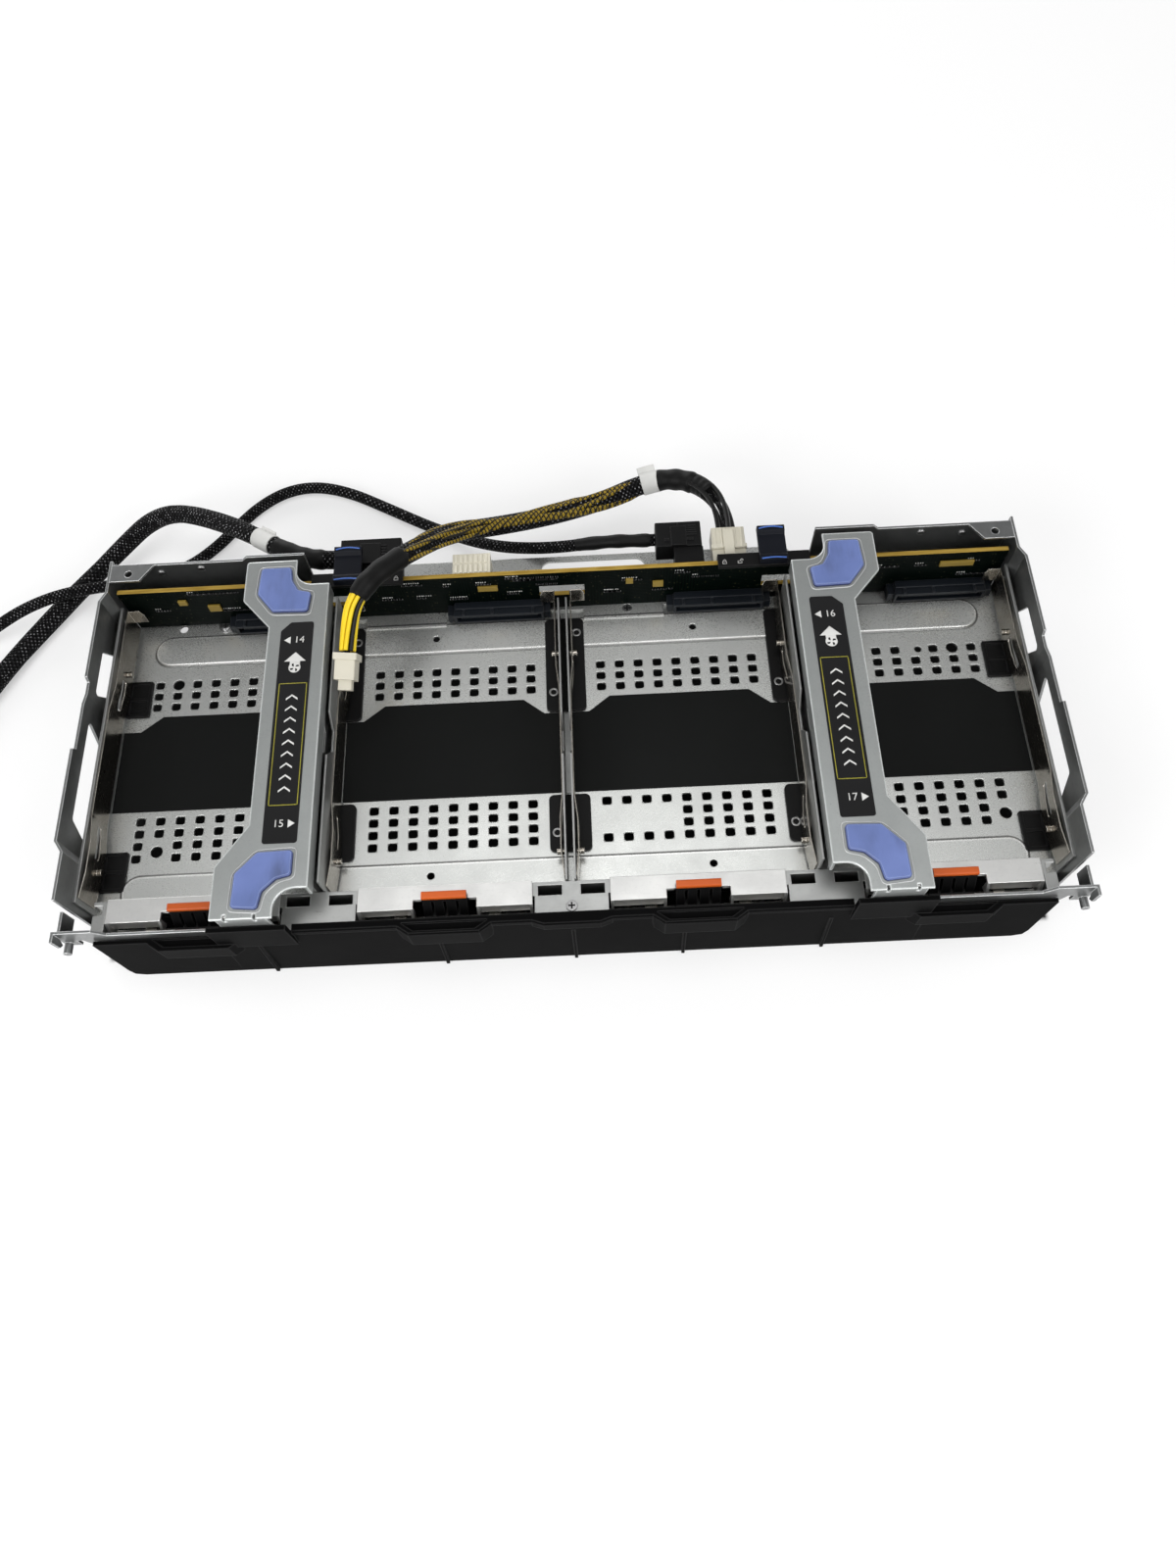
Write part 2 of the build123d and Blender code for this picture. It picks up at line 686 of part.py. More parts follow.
# The strip on the left side of a bay: x is the face of the wall that carries it
def spring_strip(x):
    rest = x + spring_thickness / 2
    bowed = rest + spring_bow
    path = [
        (rest, spring_front_y), (bowed, spring_front_y + spring_bow_run),
        (bowed, front_pin_y + spring_bow_run),
        (rest, front_pin_y + 2 * spring_bow_run), (rest, rear_pin_y - 2 * spring_bow_run),
        (bowed, rear_pin_y - spring_bow_run), (bowed, spring_rear_y)]
    inner = [(px + spring_thickness / 2, py) for px, py in path]
    outer = [(px - spring_thickness / 2, py) for px, py in path]
    flag_y = spring_rear_y + spring_thickness
    tip_x = bowed + spring_thickness / 2
    outline = inner + [(tip_x + spring_flag, spring_rear_y), (tip_x + spring_flag, flag_y),
                       (outer[-1][0], flag_y)] + outer[::-1]
    strip = prism(outline, spring_low, spring_high)
    # The hooked end is cut back low down, and its free corner is clipped
    strip -= block(tip_x, tip_x + spring_flag + overrun, spring_rear_y - overrun, flag_y + overrun,
                   spring_low - overrun, spring_low + spring_flag_low)
    clip = [(tip_x + spring_flag - spring_tip, spring_high + overrun),
            (tip_x + spring_flag + overrun, spring_high + overrun),
            (tip_x + spring_flag + overrun, spring_high - spring_tip),
            (tip_x + spring_flag, spring_high - spring_tip)]
    strip -= along_y(clip, spring_rear_y - overrun, flag_y + overrun)
    for pin_y, direction in ((front_pin_y, 1), (rear_pin_y, -1)):
        near = pin_y + direction * lance_gap
        far = near + direction * lance_length
        middle = (spring_low + spring_high) / 2
        slot = [(min(near, far), middle - lance_height / 2), (max(near, far), middle - lance_height / 2),
                (max(near, far), middle + lance_height / 2), (min(near, far), middle + lance_height / 2)]
        strip -= along_x(slot, rest - overrun, bowed + overrun, lance_height / 3)
        strip += rod_x(bowed - pin_back, bowed + pin_reach, pin_y, pin_z, pin_body_radius)
    return strip


def drive_springs(bay):
    centre = bay_centres[bay]
    left_wall = centre - bay_pitch / 2 + divider_half
    if bay == 0:
        left_wall = -deck_half
    right_wall = centre + bay_pitch / 2 - divider_half
    if bay == bay_count - 1:
        right_wall = deck_half
    left = spring_strip(left_wall)
    right = mirrored(spring_strip(-right_wall))
    return [left, right]


# Moulded guide plates at the dividers and guide blocks at the side walls
block_width = 11.4
block_rear = (54.6, 74.0)
block_front = (-34.0, -15.2)
block_wall = 1.6
block_pocket_floor = 0.7


def guide_plate(place, span):
    start, end = span
    plate = [(-guide_half, start), (guide_half, start), (guide_half, end), (-guide_half, end)]
    guide = prism(plate, 0, guide_thickness, guide_corner)
    guide -= emboss_clearance()
    for x, y, base in eyelet_spots:
        guide -= rod_z(base - overrun, overrun, x, y, eyelet_radius)
    return Pos(place, 0, 0) * guide


# Room over the deck's raised ribs
def emboss_clearance():
    reach = emboss_width / 2 + soft_gap
    end = emboss_half + soft_gap
    room = block(-end, end, emboss_rear_y - reach, emboss_rear_y + reach + overrun, -overrun, emboss_rise)
    return room + block(-end, end, emboss_front_y - reach, emboss_front_y + reach, -overrun, emboss_rise)


def guide_block(span):
    start, end = span
    outer = deck_half
    inner = outer - block_width
    middle = (start + end) / 2
    shape = [(inner, start), (outer, start), (outer, end), (inner, end)]
    guide = prism(shape, 0, guide_thickness, block_wall / 2)
    # Two shallow pockets lighten the moulding
    for low, high in ((start + block_wall, middle - block_wall / 2),
                      (middle + block_wall / 2, end - block_wall)):
        guide -= block(inner + block_wall, outer - block_wall, low, high, block_pocket_floor,
                       guide_thickness + overrun)
    guide -= emboss_clearance()
    return guide


# Insulating films on the deck between the perforations
film_thickness = 0.3
film_front_y = 5.0
film_rear_y = 47.0
film_crown_y = 54.6
film_shoulder = 8.0
film_slant = 10.0


def film(bay):
    centre = bay_centres[bay]
    left = centre - bay_pitch / 2 + divider_half + soft_gap
    right = centre + bay_pitch / 2 - divider_half - soft_gap
    if bay == 0:
        left = -deck_half + soft_gap
    if bay == bay_count - 1:
        right = deck_half - soft_gap
    outline = [
        (left, film_front_y), (right, film_front_y), (right, film_rear_y - soft_gap),
        (right - film_shoulder, film_rear_y - soft_gap), (right - film_shoulder - film_slant, film_crown_y),
        (left + film_shoulder + film_slant, film_crown_y), (left + film_shoulder, film_rear_y - soft_gap),
        (left, film_rear_y - soft_gap)]
    return prism(outline, 0, film_thickness)


# Bridge bars: shaped plates across the outer bays, with raised finger pads
bar_overlap = 0.2
bar_neck = 26.5
bar_head = 39.5
bar_notch = 15.9
bar_front_notch = 13.8
bar_inner_x = last_divider - bar_overlap
bar_outer_x = bar_inner_x + bar_neck
bar_head_x = bar_inner_x + bar_head
bar_rear_y = 114.2
bar_notch_x = bar_inner_x + bar_notch
bar_notch_y = 100.4
bar_notch_radius = 8.0
bar_corner = 1.6
bar_head_low_y = 92.5
bar_neck_rear_y = 77.5
bar_neck_front_y = -20.5
bar_foot_rear_y = -38.8
bar_front_y = shelf_front_y - sheet
bar_front_notch_x = bar_inner_x + bar_front_notch
bar_front_notch_y = -49.2
bar_front_notch_radius = 8.6
bar_flange = 8.0
bar_foot_width = 21.0
bar_foot_inset = 2.4
relief_width = 1.2
relief_depth = 2.0
relief_share = (0.28, 0.76)
pad_height = 1.6
pad_corner = 1.8


def bar_outline():
    rear = make_face(Polyline(
        (bar_inner_x, bar_front_notch_y), (bar_inner_x, bar_notch_y), (bar_notch_x, bar_notch_y),
        (bar_notch_x, bar_rear_y), (bar_head_x, bar_rear_y), (bar_head_x, bar_head_low_y),
        (bar_outer_x, bar_neck_rear_y), (bar_outer_x, bar_neck_front_y), (bar_head_x, bar_foot_rear_y),
        (bar_head_x, bar_front_y), (bar_front_notch_x, bar_front_y), (bar_front_notch_x, bar_front_notch_y),
        close=True))
    corners = rear.vertices()
    inner_rear = [v for v in corners if abs(v.X - bar_notch_x) < running_gap
                  and abs(v.Y - bar_notch_y) < running_gap]
    inner_front = [v for v in corners
                   if abs(v.X - bar_front_notch_x) < running_gap
                   and abs(v.Y - bar_front_notch_y) < running_gap]
    face = fillet(inner_rear, bar_notch_radius)
    inner_front = face.vertices().sort_by_distance((bar_front_notch_x, bar_front_notch_y))[0:1]
    face = fillet(inner_front, bar_front_notch_radius)
    sharp = [v for v in face.vertices() if v.X > bar_head_x - running_gap and v.Y > bar_neck_rear_y]
    return fillet(sharp, bar_corner)


def bridge_bar():
    face = bar_outline()
    bar = extrude(Plane.XY.offset(bar_top - sheet) * face, sheet)
    # Long edges are folded down for stiffness; the inner fold rests over the divider
    bar += block(bar_inner_x, bar_inner_x + sheet, bar_front_notch_y, bar_notch_y, side_divider_top, bar_top)
    bar += block(bar_outer_x - sheet, bar_outer_x, bar_neck_front_y, bar_neck_rear_y,
                 bar_top - bar_flange / 2, bar_top)
    foot_left = bar_front_notch_x + bar_foot_inset
    foot_right = foot_left + bar_foot_width
    bar += block(foot_left, foot_right, bar_front_y, bar_front_y + sheet, rail_top - lip_depth / 2, bar_top)
    for share in relief_share:
        middle = bar_front_notch_x + share * (bar_head_x - bar_front_notch_x)
        bar -= block(middle - relief_width / 2, middle + relief_width / 2, bar_front_y - overrun,
                     bar_front_y + relief_depth, bar_top - sheet - relief_depth, bar_top + overrun)
    return bar


# Pads: each fills a box set in from the bar's inner edge and its rear or front end
pad_edge = 4.8
front_pad_edge = 3.5
rear_pad_size = (25.6, 24.8)
front_pad_size = (24.2, 25.4)
rear_pad_left = bar_inner_x + 1.5 * pad_edge
front_pad_left = bar_inner_x + 1.4 * pad_edge
rear_pad_box = (rear_pad_left, rear_pad_left + rear_pad_size[0],
                bar_rear_y - pad_edge - rear_pad_size[1], bar_rear_y - pad_edge)
front_pad_box = (front_pad_left, front_pad_left + front_pad_size[0],
                 bar_front_y + front_pad_edge, bar_front_y + front_pad_edge + front_pad_size[1])


def pad_face(points, box):
    x0, x1, y0, y1 = box
    placed = [(x0 + share_x * (x1 - x0), y0 + share_y * (y1 - y0)) for share_x, share_y in points]
    return make_face(Polyline(*placed, close=True))


rear_pad_outline_shares = (
    (0.42, 1.00), (0.97, 1.00), (1.00, 0.42), (0.70, 0.02), (0.06, 0.00),
    (0.02, 0.42), (0.26, 0.48), (0.38, 0.70))
front_pad_outline_shares = (
    (0.00, 1.00), (0.62, 0.98), (0.98, 0.62), (1.00, 0.04), (0.54, 0.00),
    (0.48, 0.30), (0.26, 0.50), (0.00, 0.56))


def touch_pads():
    pads = []
    for points, box in ((rear_pad_outline_shares, rear_pad_box), (front_pad_outline_shares, front_pad_box)):
        face = pad_face(points, box)
        face = fillet(face.vertices(), pad_corner)
        pad = extrude(Plane.XY.offset(bar_top) * face, pad_height)
        pad = chamfer(pad.edges().group_by(Axis.Z)[-1], pad_height / 3)
        pads.append(pad)
        pads.append(mirrored(pad))
    return pads


label_reach = (5.7, 20.5)
label_x = (bar_inner_x + label_reach[0], bar_inner_x + label_reach[1])
label_y = (-29.4, 79.4)
label_thickness = 0.2
label_chamfer = 4.5
label_corner = 1.2


def label_strip():
    x0, x1 = label_x
    y0, y1 = label_y
    outline = [(x0, y0), (x1, y0), (x1, y1 - label_chamfer), (x1 - label_chamfer, y1), (x0, y1)]
    return prism(outline, bar_top, bar_top + label_thickness, label_corner)


# Air shroud: the moulded skirt below the front rail, with finger pockets at the tabs
shroud_half = rail_half
shroud_end_taper = 3.5
shroud_wall = 2.0
shroud_top_y = shelf_front_y
shroud_lean = 3.4
shroud_low = -deck_height
shroud_outer_top = 14.0
rim_rear_y = window_front_y - soft_gap / 3
rim_height = 3.2
rim_bottom = rail_top
rim_wide = 3.9
rim_end_gap = 0.2
rim_end_x = strip_inner_x - rim_end_gap
rim_round = 0.9
pocket_half = 15.0
pocket_depth = 3.4
pocket_recess = 1.6
pocket_lip = 1.9
pocket_slant = 5.0
pocket_fall = 11.0
boss_half = 12.0
shroud_foot = 8.0
bar_block_start = 10.3
bar_block = (last_divider + bar_block_start, rim_end_x)
bar_block_top = 30.0
bar_block_low = 9.0
bar_block_depth = 2.4
shroud_rib = 1.4
shroud_rib_depth = 1.2
rib_shares = (-0.66, -0.283, 0.0, 0.234, 0.537)
end_return = 11.0
end_round = 3.0


def shroud_section(top):
    outer_top = shroud_top_y - shroud_wall
    return [
        (shroud_top_y, top), (outer_top, top), (outer_top - shroud_lean, shroud_low),
        (outer_top - shroud_lean + shroud_wall + shroud_foot, shroud_low),
        (outer_top - shroud_lean + shroud_wall + shroud_foot, shroud_low + shroud_wall),
        (outer_top - shroud_lean + shroud_wall, shroud_low + shroud_wall)]


# A pocket bulges forward of the rim, as a slanted box in plan
def pocket_outline(centre, half, depth, rear_y, front_y):
    return [
        (centre - half - pocket_slant, rear_y), (centre + half + pocket_slant, rear_y),
        (centre + half + pocket_slant, front_y), (centre + half, front_y - depth),
        (centre - half, front_y - depth), (centre - half - pocket_slant, front_y)]


# The rim's bead: straight behind, and bulging round the pockets and the middle boss in front
def rim_bead():
    front = rim_rear_y - rim_wide
    outline = [(-rim_end_x, rim_rear_y), (-rim_end_x, front)]
    inner_bays = [c for c in bay_centres if abs(c) < bay_pitch]
    bulges = [(c, pocket_half, pocket_depth) for c in inner_bays] + [(0, boss_half, pocket_depth / 2)]
    for centre, half, depth in sorted(bulges):
        outline += [(centre - half - pocket_slant, front), (centre - half, front - depth),
                    (centre + half, front - depth), (centre + half + pocket_slant, front)]
    outline += [(rim_end_x, front), (rim_end_x, rim_rear_y)]
    bead = prism(outline, rim_bottom, rim_bottom + rim_height)
    top = bead.edges().group_by(Axis.Z)[-1]
    return chamfer([e for e in top if e.center().Y < rim_rear_y - running_gap], rim_round)


def air_shroud():
    rim_top = rim_bottom + rim_height
    front = rim_rear_y - rim_wide
    shroud = along_x(shroud_section(rim_bottom), -rim_end_x, rim_end_x)
    for side in sides:
        shroud += along_x(shroud_section(shroud_outer_top), side * rim_end_x, side * shroud_half)
        shroud += block(side * (shroud_half - shroud_end_taper - shroud_wall), side * shroud_half,
                        shroud_top_y - shroud_lean, shroud_top_y + end_return, shroud_low, -sheet - soft_gap)
    # Pockets at the orange tabs: a shallow scoop with a lip left behind it
    for centre in bay_centres:
        inner_bay = abs(centre) < bay_pitch
        pocket_top = rim_bottom if inner_bay else shroud_outer_top
        outer = pocket_outline(centre, pocket_half, pocket_depth, shroud_top_y, front)
        shroud += prism(outer, pocket_top - pocket_fall, pocket_top)
    boss = pocket_outline(0, boss_half, pocket_depth / 2, shroud_top_y, front)
    shroud += prism(boss, rim_bottom - rim_height, rim_bottom)
    shroud += rim_bead()
    for centre in bay_centres:
        top = rim_top if abs(centre) < bay_pitch else shroud_outer_top
        scoop = pocket_outline(centre, pocket_half - shroud_wall, pocket_depth, shroud_top_y - soft_gap,
                               front + pocket_lip)
        shroud -= prism(scoop, top - pocket_recess, top + overrun)
    for side in sides:
        # A raised block hides each bar's foot, and the rim is cut back for the foot itself
        near, far = bar_block
        shroud -= block(side * near, side * far, shroud_top_y - shroud_wall + soft_gap, rim_rear_y + overrun,
                        bar_block_low, bar_block_top + overrun)
        shroud += block(side * near, side * far, bar_front_y - soft_gap - bar_block_depth,
                        bar_front_y - soft_gap, bar_block_low, bar_block_top)
    for share in rib_shares:
        x = share * shroud_half
        rib = [(shroud_top_y - shroud_wall, rail_top / 2),
               (shroud_top_y - shroud_wall - shroud_lean, shroud_low),
               (shroud_top_y - shroud_wall - shroud_lean - shroud_rib_depth, shroud_low),
               (shroud_top_y - shroud_wall - shroud_rib_depth, rail_top / 2)]
        shroud += along_x(rib, x - shroud_rib / 2, x + shroud_rib / 2)
    foot_x = shroud_half - shroud_end_taper
    taper = [(foot_x - 2 * end_round, shroud_low - overrun), (foot_x - 2 * end_round, shroud_low),
             (foot_x - end_round / 2, shroud_low + end_round / 2), (foot_x, shroud_low + 2 * end_round),
             (shroud_half, shroud_outer_top), (shroud_half + overrun, shroud_outer_top),
             (shroud_half + overrun, shroud_low - overrun)]
    wedge = along_y(taper, rim_rear_y + end_return + overrun,
                    shroud_top_y - pocket_depth - overrun - shroud_lean)
    return shroud - wedge - mirrored(wedge)


# Front corner brackets: an upright plate before each corner, a fold to the side plate and a guide pin
bracket_top = 25.0
bracket_low = 9.0
bracket_inner = 15.6
bracket_outer = 5.8
bracket_inner_x = deck_half - bracket_inner
bracket_outer_x = deck_half + bracket_outer
bracket_slope = 4.6
bracket_notch = (4.2, 9.4)
bracket_notch_z = 15.0
bracket_return = 3.6
strip_top = 20.0
guide_pin_radius = 1.8
guide_pin_length = 5.0
guide_pin_offset = 3.6
guide_pin_x = deck_half + guide_pin_offset
guide_pin_z = 12.0
bracket_ear = 4.6


def corner_bracket():
    x0, x1 = bracket_inner_x, bracket_outer_x
    near, far = bracket_notch
    face = [
        (x0, bracket_low), (x0, bracket_top - bracket_slope), (x0 + bracket_slope, bracket_top),
        (x1, bracket_top),
        (x1, bracket_low), (guide_pin_x - bracket_ear, bracket_low),
        (guide_pin_x - bracket_ear, bracket_notch_z),
        (x1 - far, bracket_notch_z), (x1 - far - bracket_slope / 2, bracket_low)]
    bracket = along_y(face, strip_y, strip_y + sheet)
    bracket += block(strip_inner_x, x0, strip_y, strip_y + sheet, rail_top - lip_depth + sheet, strip_top)
    # The fold to the side plate and a short return forward at the top
    bracket += block(x1 - sheet, x1, strip_y, plate_front_y, guide_pin_z - guide_pin_radius - sheet,
                     strip_top)
    turned = [(strip_y, bracket_top), (strip_y, bracket_notch_z + near),
              (strip_y - bracket_return / 2, bracket_notch_z),
              (strip_y - bracket_return, bracket_notch_z + near / 2), (strip_y - bracket_return, bracket_top)]
    bracket += along_x(turned, x1 - sheet, x1)
    bracket += rod_y(strip_y - guide_pin_length, strip_y + sheet, guide_pin_x, guide_pin_z, guide_pin_radius)
    return bracket


# Screws and rivet eyelets
screw_head_radius = 2.4
screw_head_height = 1.0
screw_shank = 1.3
eyelet_radius = 2.2
eyelet_bore = 1.4
ledge_screw_x = 31.6
ledge_screw_y = 103.0
eyelet_x = 6.0
eyelet_rear_y = 90.3
eyelet_middle_y = 57.4
eyelet_front_y = -15.2
# Across, along, and the height that each eyelet stands on
eyelet_spots = (
    (eyelet_x, eyelet_rear_y, emboss_rise), (-eyelet_x, eyelet_middle_y, 0), (-eyelet_x, eyelet_front_y, 0))


def fasteners():
    group = []
    shelf = rod_z(rail_top, rail_top + screw_head_height, 0, shelf_screw_y, screw_head_radius)
    shelf += rod_z(rail_top - sheet - soft_gap, rail_top, 0, shelf_screw_y, screw_shank)
    group.append(shelf)
    group.append(rod_z(0, ledge_rise, ledge_screw_x, ledge_screw_y, screw_head_radius))
    for place in divider_places:
        for x, y, base in eyelet_spots:
            ring = rod_z(base, guide_thickness, place + x, y, eyelet_radius)
            ring -= rod_z(-overrun, overrun, place + x, y, eyelet_bore)
            group.append(ring)
    return group


# Cords: chosen points, joined by straight runs with tangent arcs
def cord_tube(name, points, radius):
    runs = [math.dist(a, b) for a, b in zip(points, points[1:])]
    radii = []
    for a, b, c, before, after in zip(points, points[1:], points[2:], runs, runs[1:]):
        turn = math.radians((Vector(*b) - Vector(*a)).get_angle(Vector(*c) - Vector(*b)))
        radii.append(arc_share * min(before, after) / math.tan(turn / 2))
    path = FilletPolyline(*points, radius=radii)
    start = path @ 0
    section = Plane(origin=start, z_dir=path % 0) * Circle(radius)
    tube = sweep(section, path=path)
    print(name, "radii", [round(r, 1) for r in radii], "length", round(path.length, 1),
          "volume ratio", round(tube.volume / (math.pi * radius ** 2 * path.length), 4))
    return tube


arc_share = 0.45
lead_radius = 4.8
thin_radius = 3.0
wide_radius = 4.6

power_plug_x = (73.4, 89.4)
power_plug_length = 12.0
plug_low = 16.4
plug_high = 27.2

lead_route = [
    (81.4, 129.4, 21.8), (81.4, 139.0, 21.8), (78.2, 153.2, 20.8), (68.8, 165.6, 18.0), (55.0, 172.2, 13.8),
    (39.6, 171.4, 9.6), (24.6, 167.0, 6.2), (6.0, 162.6, 4.0), (-14.0, 157.6, 4.6), (-33.0, 150.8, 9.4),
    (-48.0, 142.0, 18.4), (-58.8, 129.8, 29.6), (-67.2, 116.4, 39.8), (-75.4, 104.8, 47.2),
    (-84.4, 94.8, 50.0),
    (-91.2, 85.6, 48.8), (-95.2, 76.6, 45.4), (-96.8, 61.0, 38.8)]
thin_route = [
    (46.5, 128.2, 21.6), (38.0, 128.2, 21.6), (26.6, 129.6, 20.4), (13.6, 131.4, 17.0), (-0.6, 134.2, 11.6),
    (-16.0, 139.6, 4.6), (-32.6, 148.2, -4.2), (-51.0, 160.2, -12.6), (-72.0, 174.2, -17.8),
    (-94.0, 188.0, -19.0), (-115.4, 200.4, -19.0), (-134.4, 206.2, -19.0), (-151.2, 204.0, -19.0),
    (-165.4, 194.6, -19.0), (-176.6, 181.6, -19.0), (-187.2, 167.8, -19.0), (-200.6, 155.6, -18.6),
    (-216.8, 146.8, -15.6), (-233.6, 140.8, -10.4), (-249.4, 136.4, -7.0), (-265.0, 132.6, -7.0),
    (-280.8, 127.6, -9.6), (-296.4, 120.2, -14.0), (-310.6, 110.4, -17.4), (-324.0, 98.6, -18.4),
    (-336.6, 86.4, -18.4)]
wide_route = [
    (-106.6, 126.6, 20.4), (-117.4, 126.6, 20.4), (-132.6, 131.6, 19.8), (-152.3, 146.0, 17.0),
    (-169.6, 157.6, 13.0), (-187.2, 168.4, 8.0), (-203.6, 175.2, 2.6), (-219.2, 174.0, -3.0),
    (-232.6, 164.6, -8.8), (-246.9, 150.8, -13.6), (-262.2, 134.0, -16.4), (-275.1, 116.4, -17.0),
    (-285.8, 99.0, -17.0), (-294.7, 82.2, -17.0), (-303.0, 65.6, -17.0)]

end_plug_size = (9.4, 12.0, 8.4)
end_plug_nose = 4.5
end_plug_collar = 1.6
thin_plug_x = (46.5, 68.6)
thin_plug_y = (signal_socket_rear_y, 134.0)
wide_plug_x = (-106.6, -77.0)
wide_plug_y = (left_socket_rear_y, 133.0)
far_plug_size = (16.0, 22.0, 7.0)
far_plug_nose = 8.0
plug_tongue = 3.0
plug_corner = 0.8


# A plug moulding: body, locking ridge and a narrower nose towards -Y
def plug_body(x_span, y_span, low, high):
    body = block(x_span[0], x_span[1], y_span[0], y_span[1], low, high)
    body = fillet(body.edges().filter_by(Axis.Y), plug_corner)
    middle = (x_span[0] + x_span[1]) / 2
    ridge = (x_span[1] - x_span[0]) / 6
    body += block(middle - ridge, middle + ridge, y_span[0], y_span[1] - plug_tongue, high,
                  high + plug_corner)
    return body


def power_plug():
    start = power_header_rear_y
    return plug_body(power_plug_x, (start, start + power_plug_length), plug_low, plug_high)


# A plug on a cord's loose end, square to the cord, with a narrower nose and a wider collar at the cord
def loose_plug(route, size, nose, collar=0):
    end = Vector(*route[-1])
    heading = (end - Vector(*route[-2])).normalized()
    across = Vector(heading.Y, -heading.X, 0).normalized()
    plane = Plane(origin=end, x_dir=across, z_dir=heading)
    width, length, height = size
    body = extrude(plane * RectangleRounded(width, height, plug_corner), length)
    if collar > 0:
        body += extrude(plane * RectangleRounded(width + collar, height + collar, plug_corner), plug_tongue)
    tip = plane.offset(length)
    return body + extrude(tip * RectangleRounded(width - plug_tongue, height / 2, plug_corner), nose)


# Origin at the bottom centre of the cage, without the cords
front_extent = shroud_top_y - shroud_wall - shroud_lean - shroud_rib_depth
rear_extent = tongue_rear_y
placement = Pos(0, -(front_extent + rear_extent) / 2, deck_height)


def write(name, shapes):
    solids = shapes if isinstance(shapes, list) else [shapes]
    placed = [placement * solid for solid in solids]
    shape = placed[0] if len(placed) == 1 else Compound(children=placed)
    export_step(shape, f"parts/{name}.step")


def write_both(name, shape):
    write(name + "_right", shape)
    write(name + "_left", mirrored(shape))


def main():
    os.makedirs("parts", exist_ok=True)
    write("deck_pan", deck_pan())
    write("front_rail", front_rail())
    write_both("side_rail", side_rail())
    write_both("side_plate", side_plate())
    write_both("rear_panel", rear_panel())
    write("rear_ledge", rear_ledge())
    names = ("left", "centre", "right")
    for name, place in zip(names, divider_places):
        top = centre_divider_top if name == "centre" else side_divider_top
        write("bay_divider_" + name, bay_divider(place, top))
    for bay, centre in enumerate(bay_centres):
        number = str(bay + 1)
        write("drive_springs_" + number, drive_springs(bay))
        write("latch_flap_" + number, latch_flap(centre))
        write("latch_lever_" + number, latch_lever(centre))
        write("release_tab_" + number, release_tab(centre))
    write("latch_pins", latch_pins())
    write("latch_springs", latch_springs())
    write("guide_plates_rear", [guide_plate(place, guide_rear) for place in divider_places])
    write("guide_plates_front", [guide_plate(place, guide_front) for place in divider_places])
    blocks = [guide_block(span) for span in (block_rear, block_front)]
    write("guide_blocks", blocks + [mirrored(shape) for shape in blocks])
    write("insulating_films", [film(bay) for bay in range(bay_count)])
    write_both("bridge_bar", bridge_bar())
    write("touch_pads", touch_pads())
    label = label_strip()
    write("label_strips", [label, mirrored(label)])
    write("air_shroud", air_shroud())
    write("backplane_board", backplane_board())
    write("drive_connectors", [drive_connector(centre) for centre in bay_centres])
    write("power_headers", [socket(ivory_header_x, ivory_header_rear_y, header_low, ivory_header_high),
                            socket(power_header_x, power_header_rear_y, header_low, header_high)])
    write("signal_sockets", [socket(signal_socket_x, signal_socket_rear_y, header_low, header_high),
                             socket(left_socket_x, left_socket_rear_y, header_low, header_high)])
    write("board_components", board_components())
    base = release_base()
    write("release_bases", [base, mirrored(base)])
    write_both("release_slider", release_slider())
    write_both("corner_bracket", corner_bracket())
    write("screws", fasteners())
    write("power_lead", cord_tube("power_lead", lead_route, lead_radius))
    write("power_plug", power_plug())
    write("lead_end_plug", loose_plug(lead_route, end_plug_size, end_plug_nose, end_plug_collar))
    write("thin_cable", cord_tube("thin_cable", thin_route, thin_radius))
    write("thin_cable_plug", plug_body(thin_plug_x, thin_plug_y, plug_low, plug_high))
    write("thin_cable_far_plug", loose_plug(thin_route, far_plug_size, far_plug_nose))
    write("wide_cable", cord_tube("wide_cable", wide_route, wide_radius))
    write("wide_cable_plug", plug_body(wide_plug_x, wide_plug_y, plug_low, plug_high))
    write("wide_cable_far_plug", loose_plug(wide_route, far_plug_size, far_plug_nose))


main()
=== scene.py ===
import bmesh
import bpy
import math
import random
from mathutils import Matrix, Vector


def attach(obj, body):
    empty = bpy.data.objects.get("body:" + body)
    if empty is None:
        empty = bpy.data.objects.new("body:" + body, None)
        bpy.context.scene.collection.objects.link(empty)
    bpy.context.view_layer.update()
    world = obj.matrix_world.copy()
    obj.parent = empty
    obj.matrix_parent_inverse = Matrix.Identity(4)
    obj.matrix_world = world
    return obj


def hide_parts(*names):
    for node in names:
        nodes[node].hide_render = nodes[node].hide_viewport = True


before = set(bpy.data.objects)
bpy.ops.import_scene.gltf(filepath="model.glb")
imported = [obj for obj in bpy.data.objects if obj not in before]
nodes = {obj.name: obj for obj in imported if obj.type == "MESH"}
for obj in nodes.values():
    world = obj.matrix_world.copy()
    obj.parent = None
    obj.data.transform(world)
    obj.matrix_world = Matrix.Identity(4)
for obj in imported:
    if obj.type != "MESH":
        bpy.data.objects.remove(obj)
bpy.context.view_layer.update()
scene = bpy.context.scene

# Where millimetre places count from: the deck's top face, at the front row of its perforations
deckZ = 0.022
deckY = -0.03495


# A point given in millimetres from that origin
def at(x, y, z):
    return Vector((x / 1000, y / 1000 + deckY, z / 1000 + deckZ))


print("stage: camera")
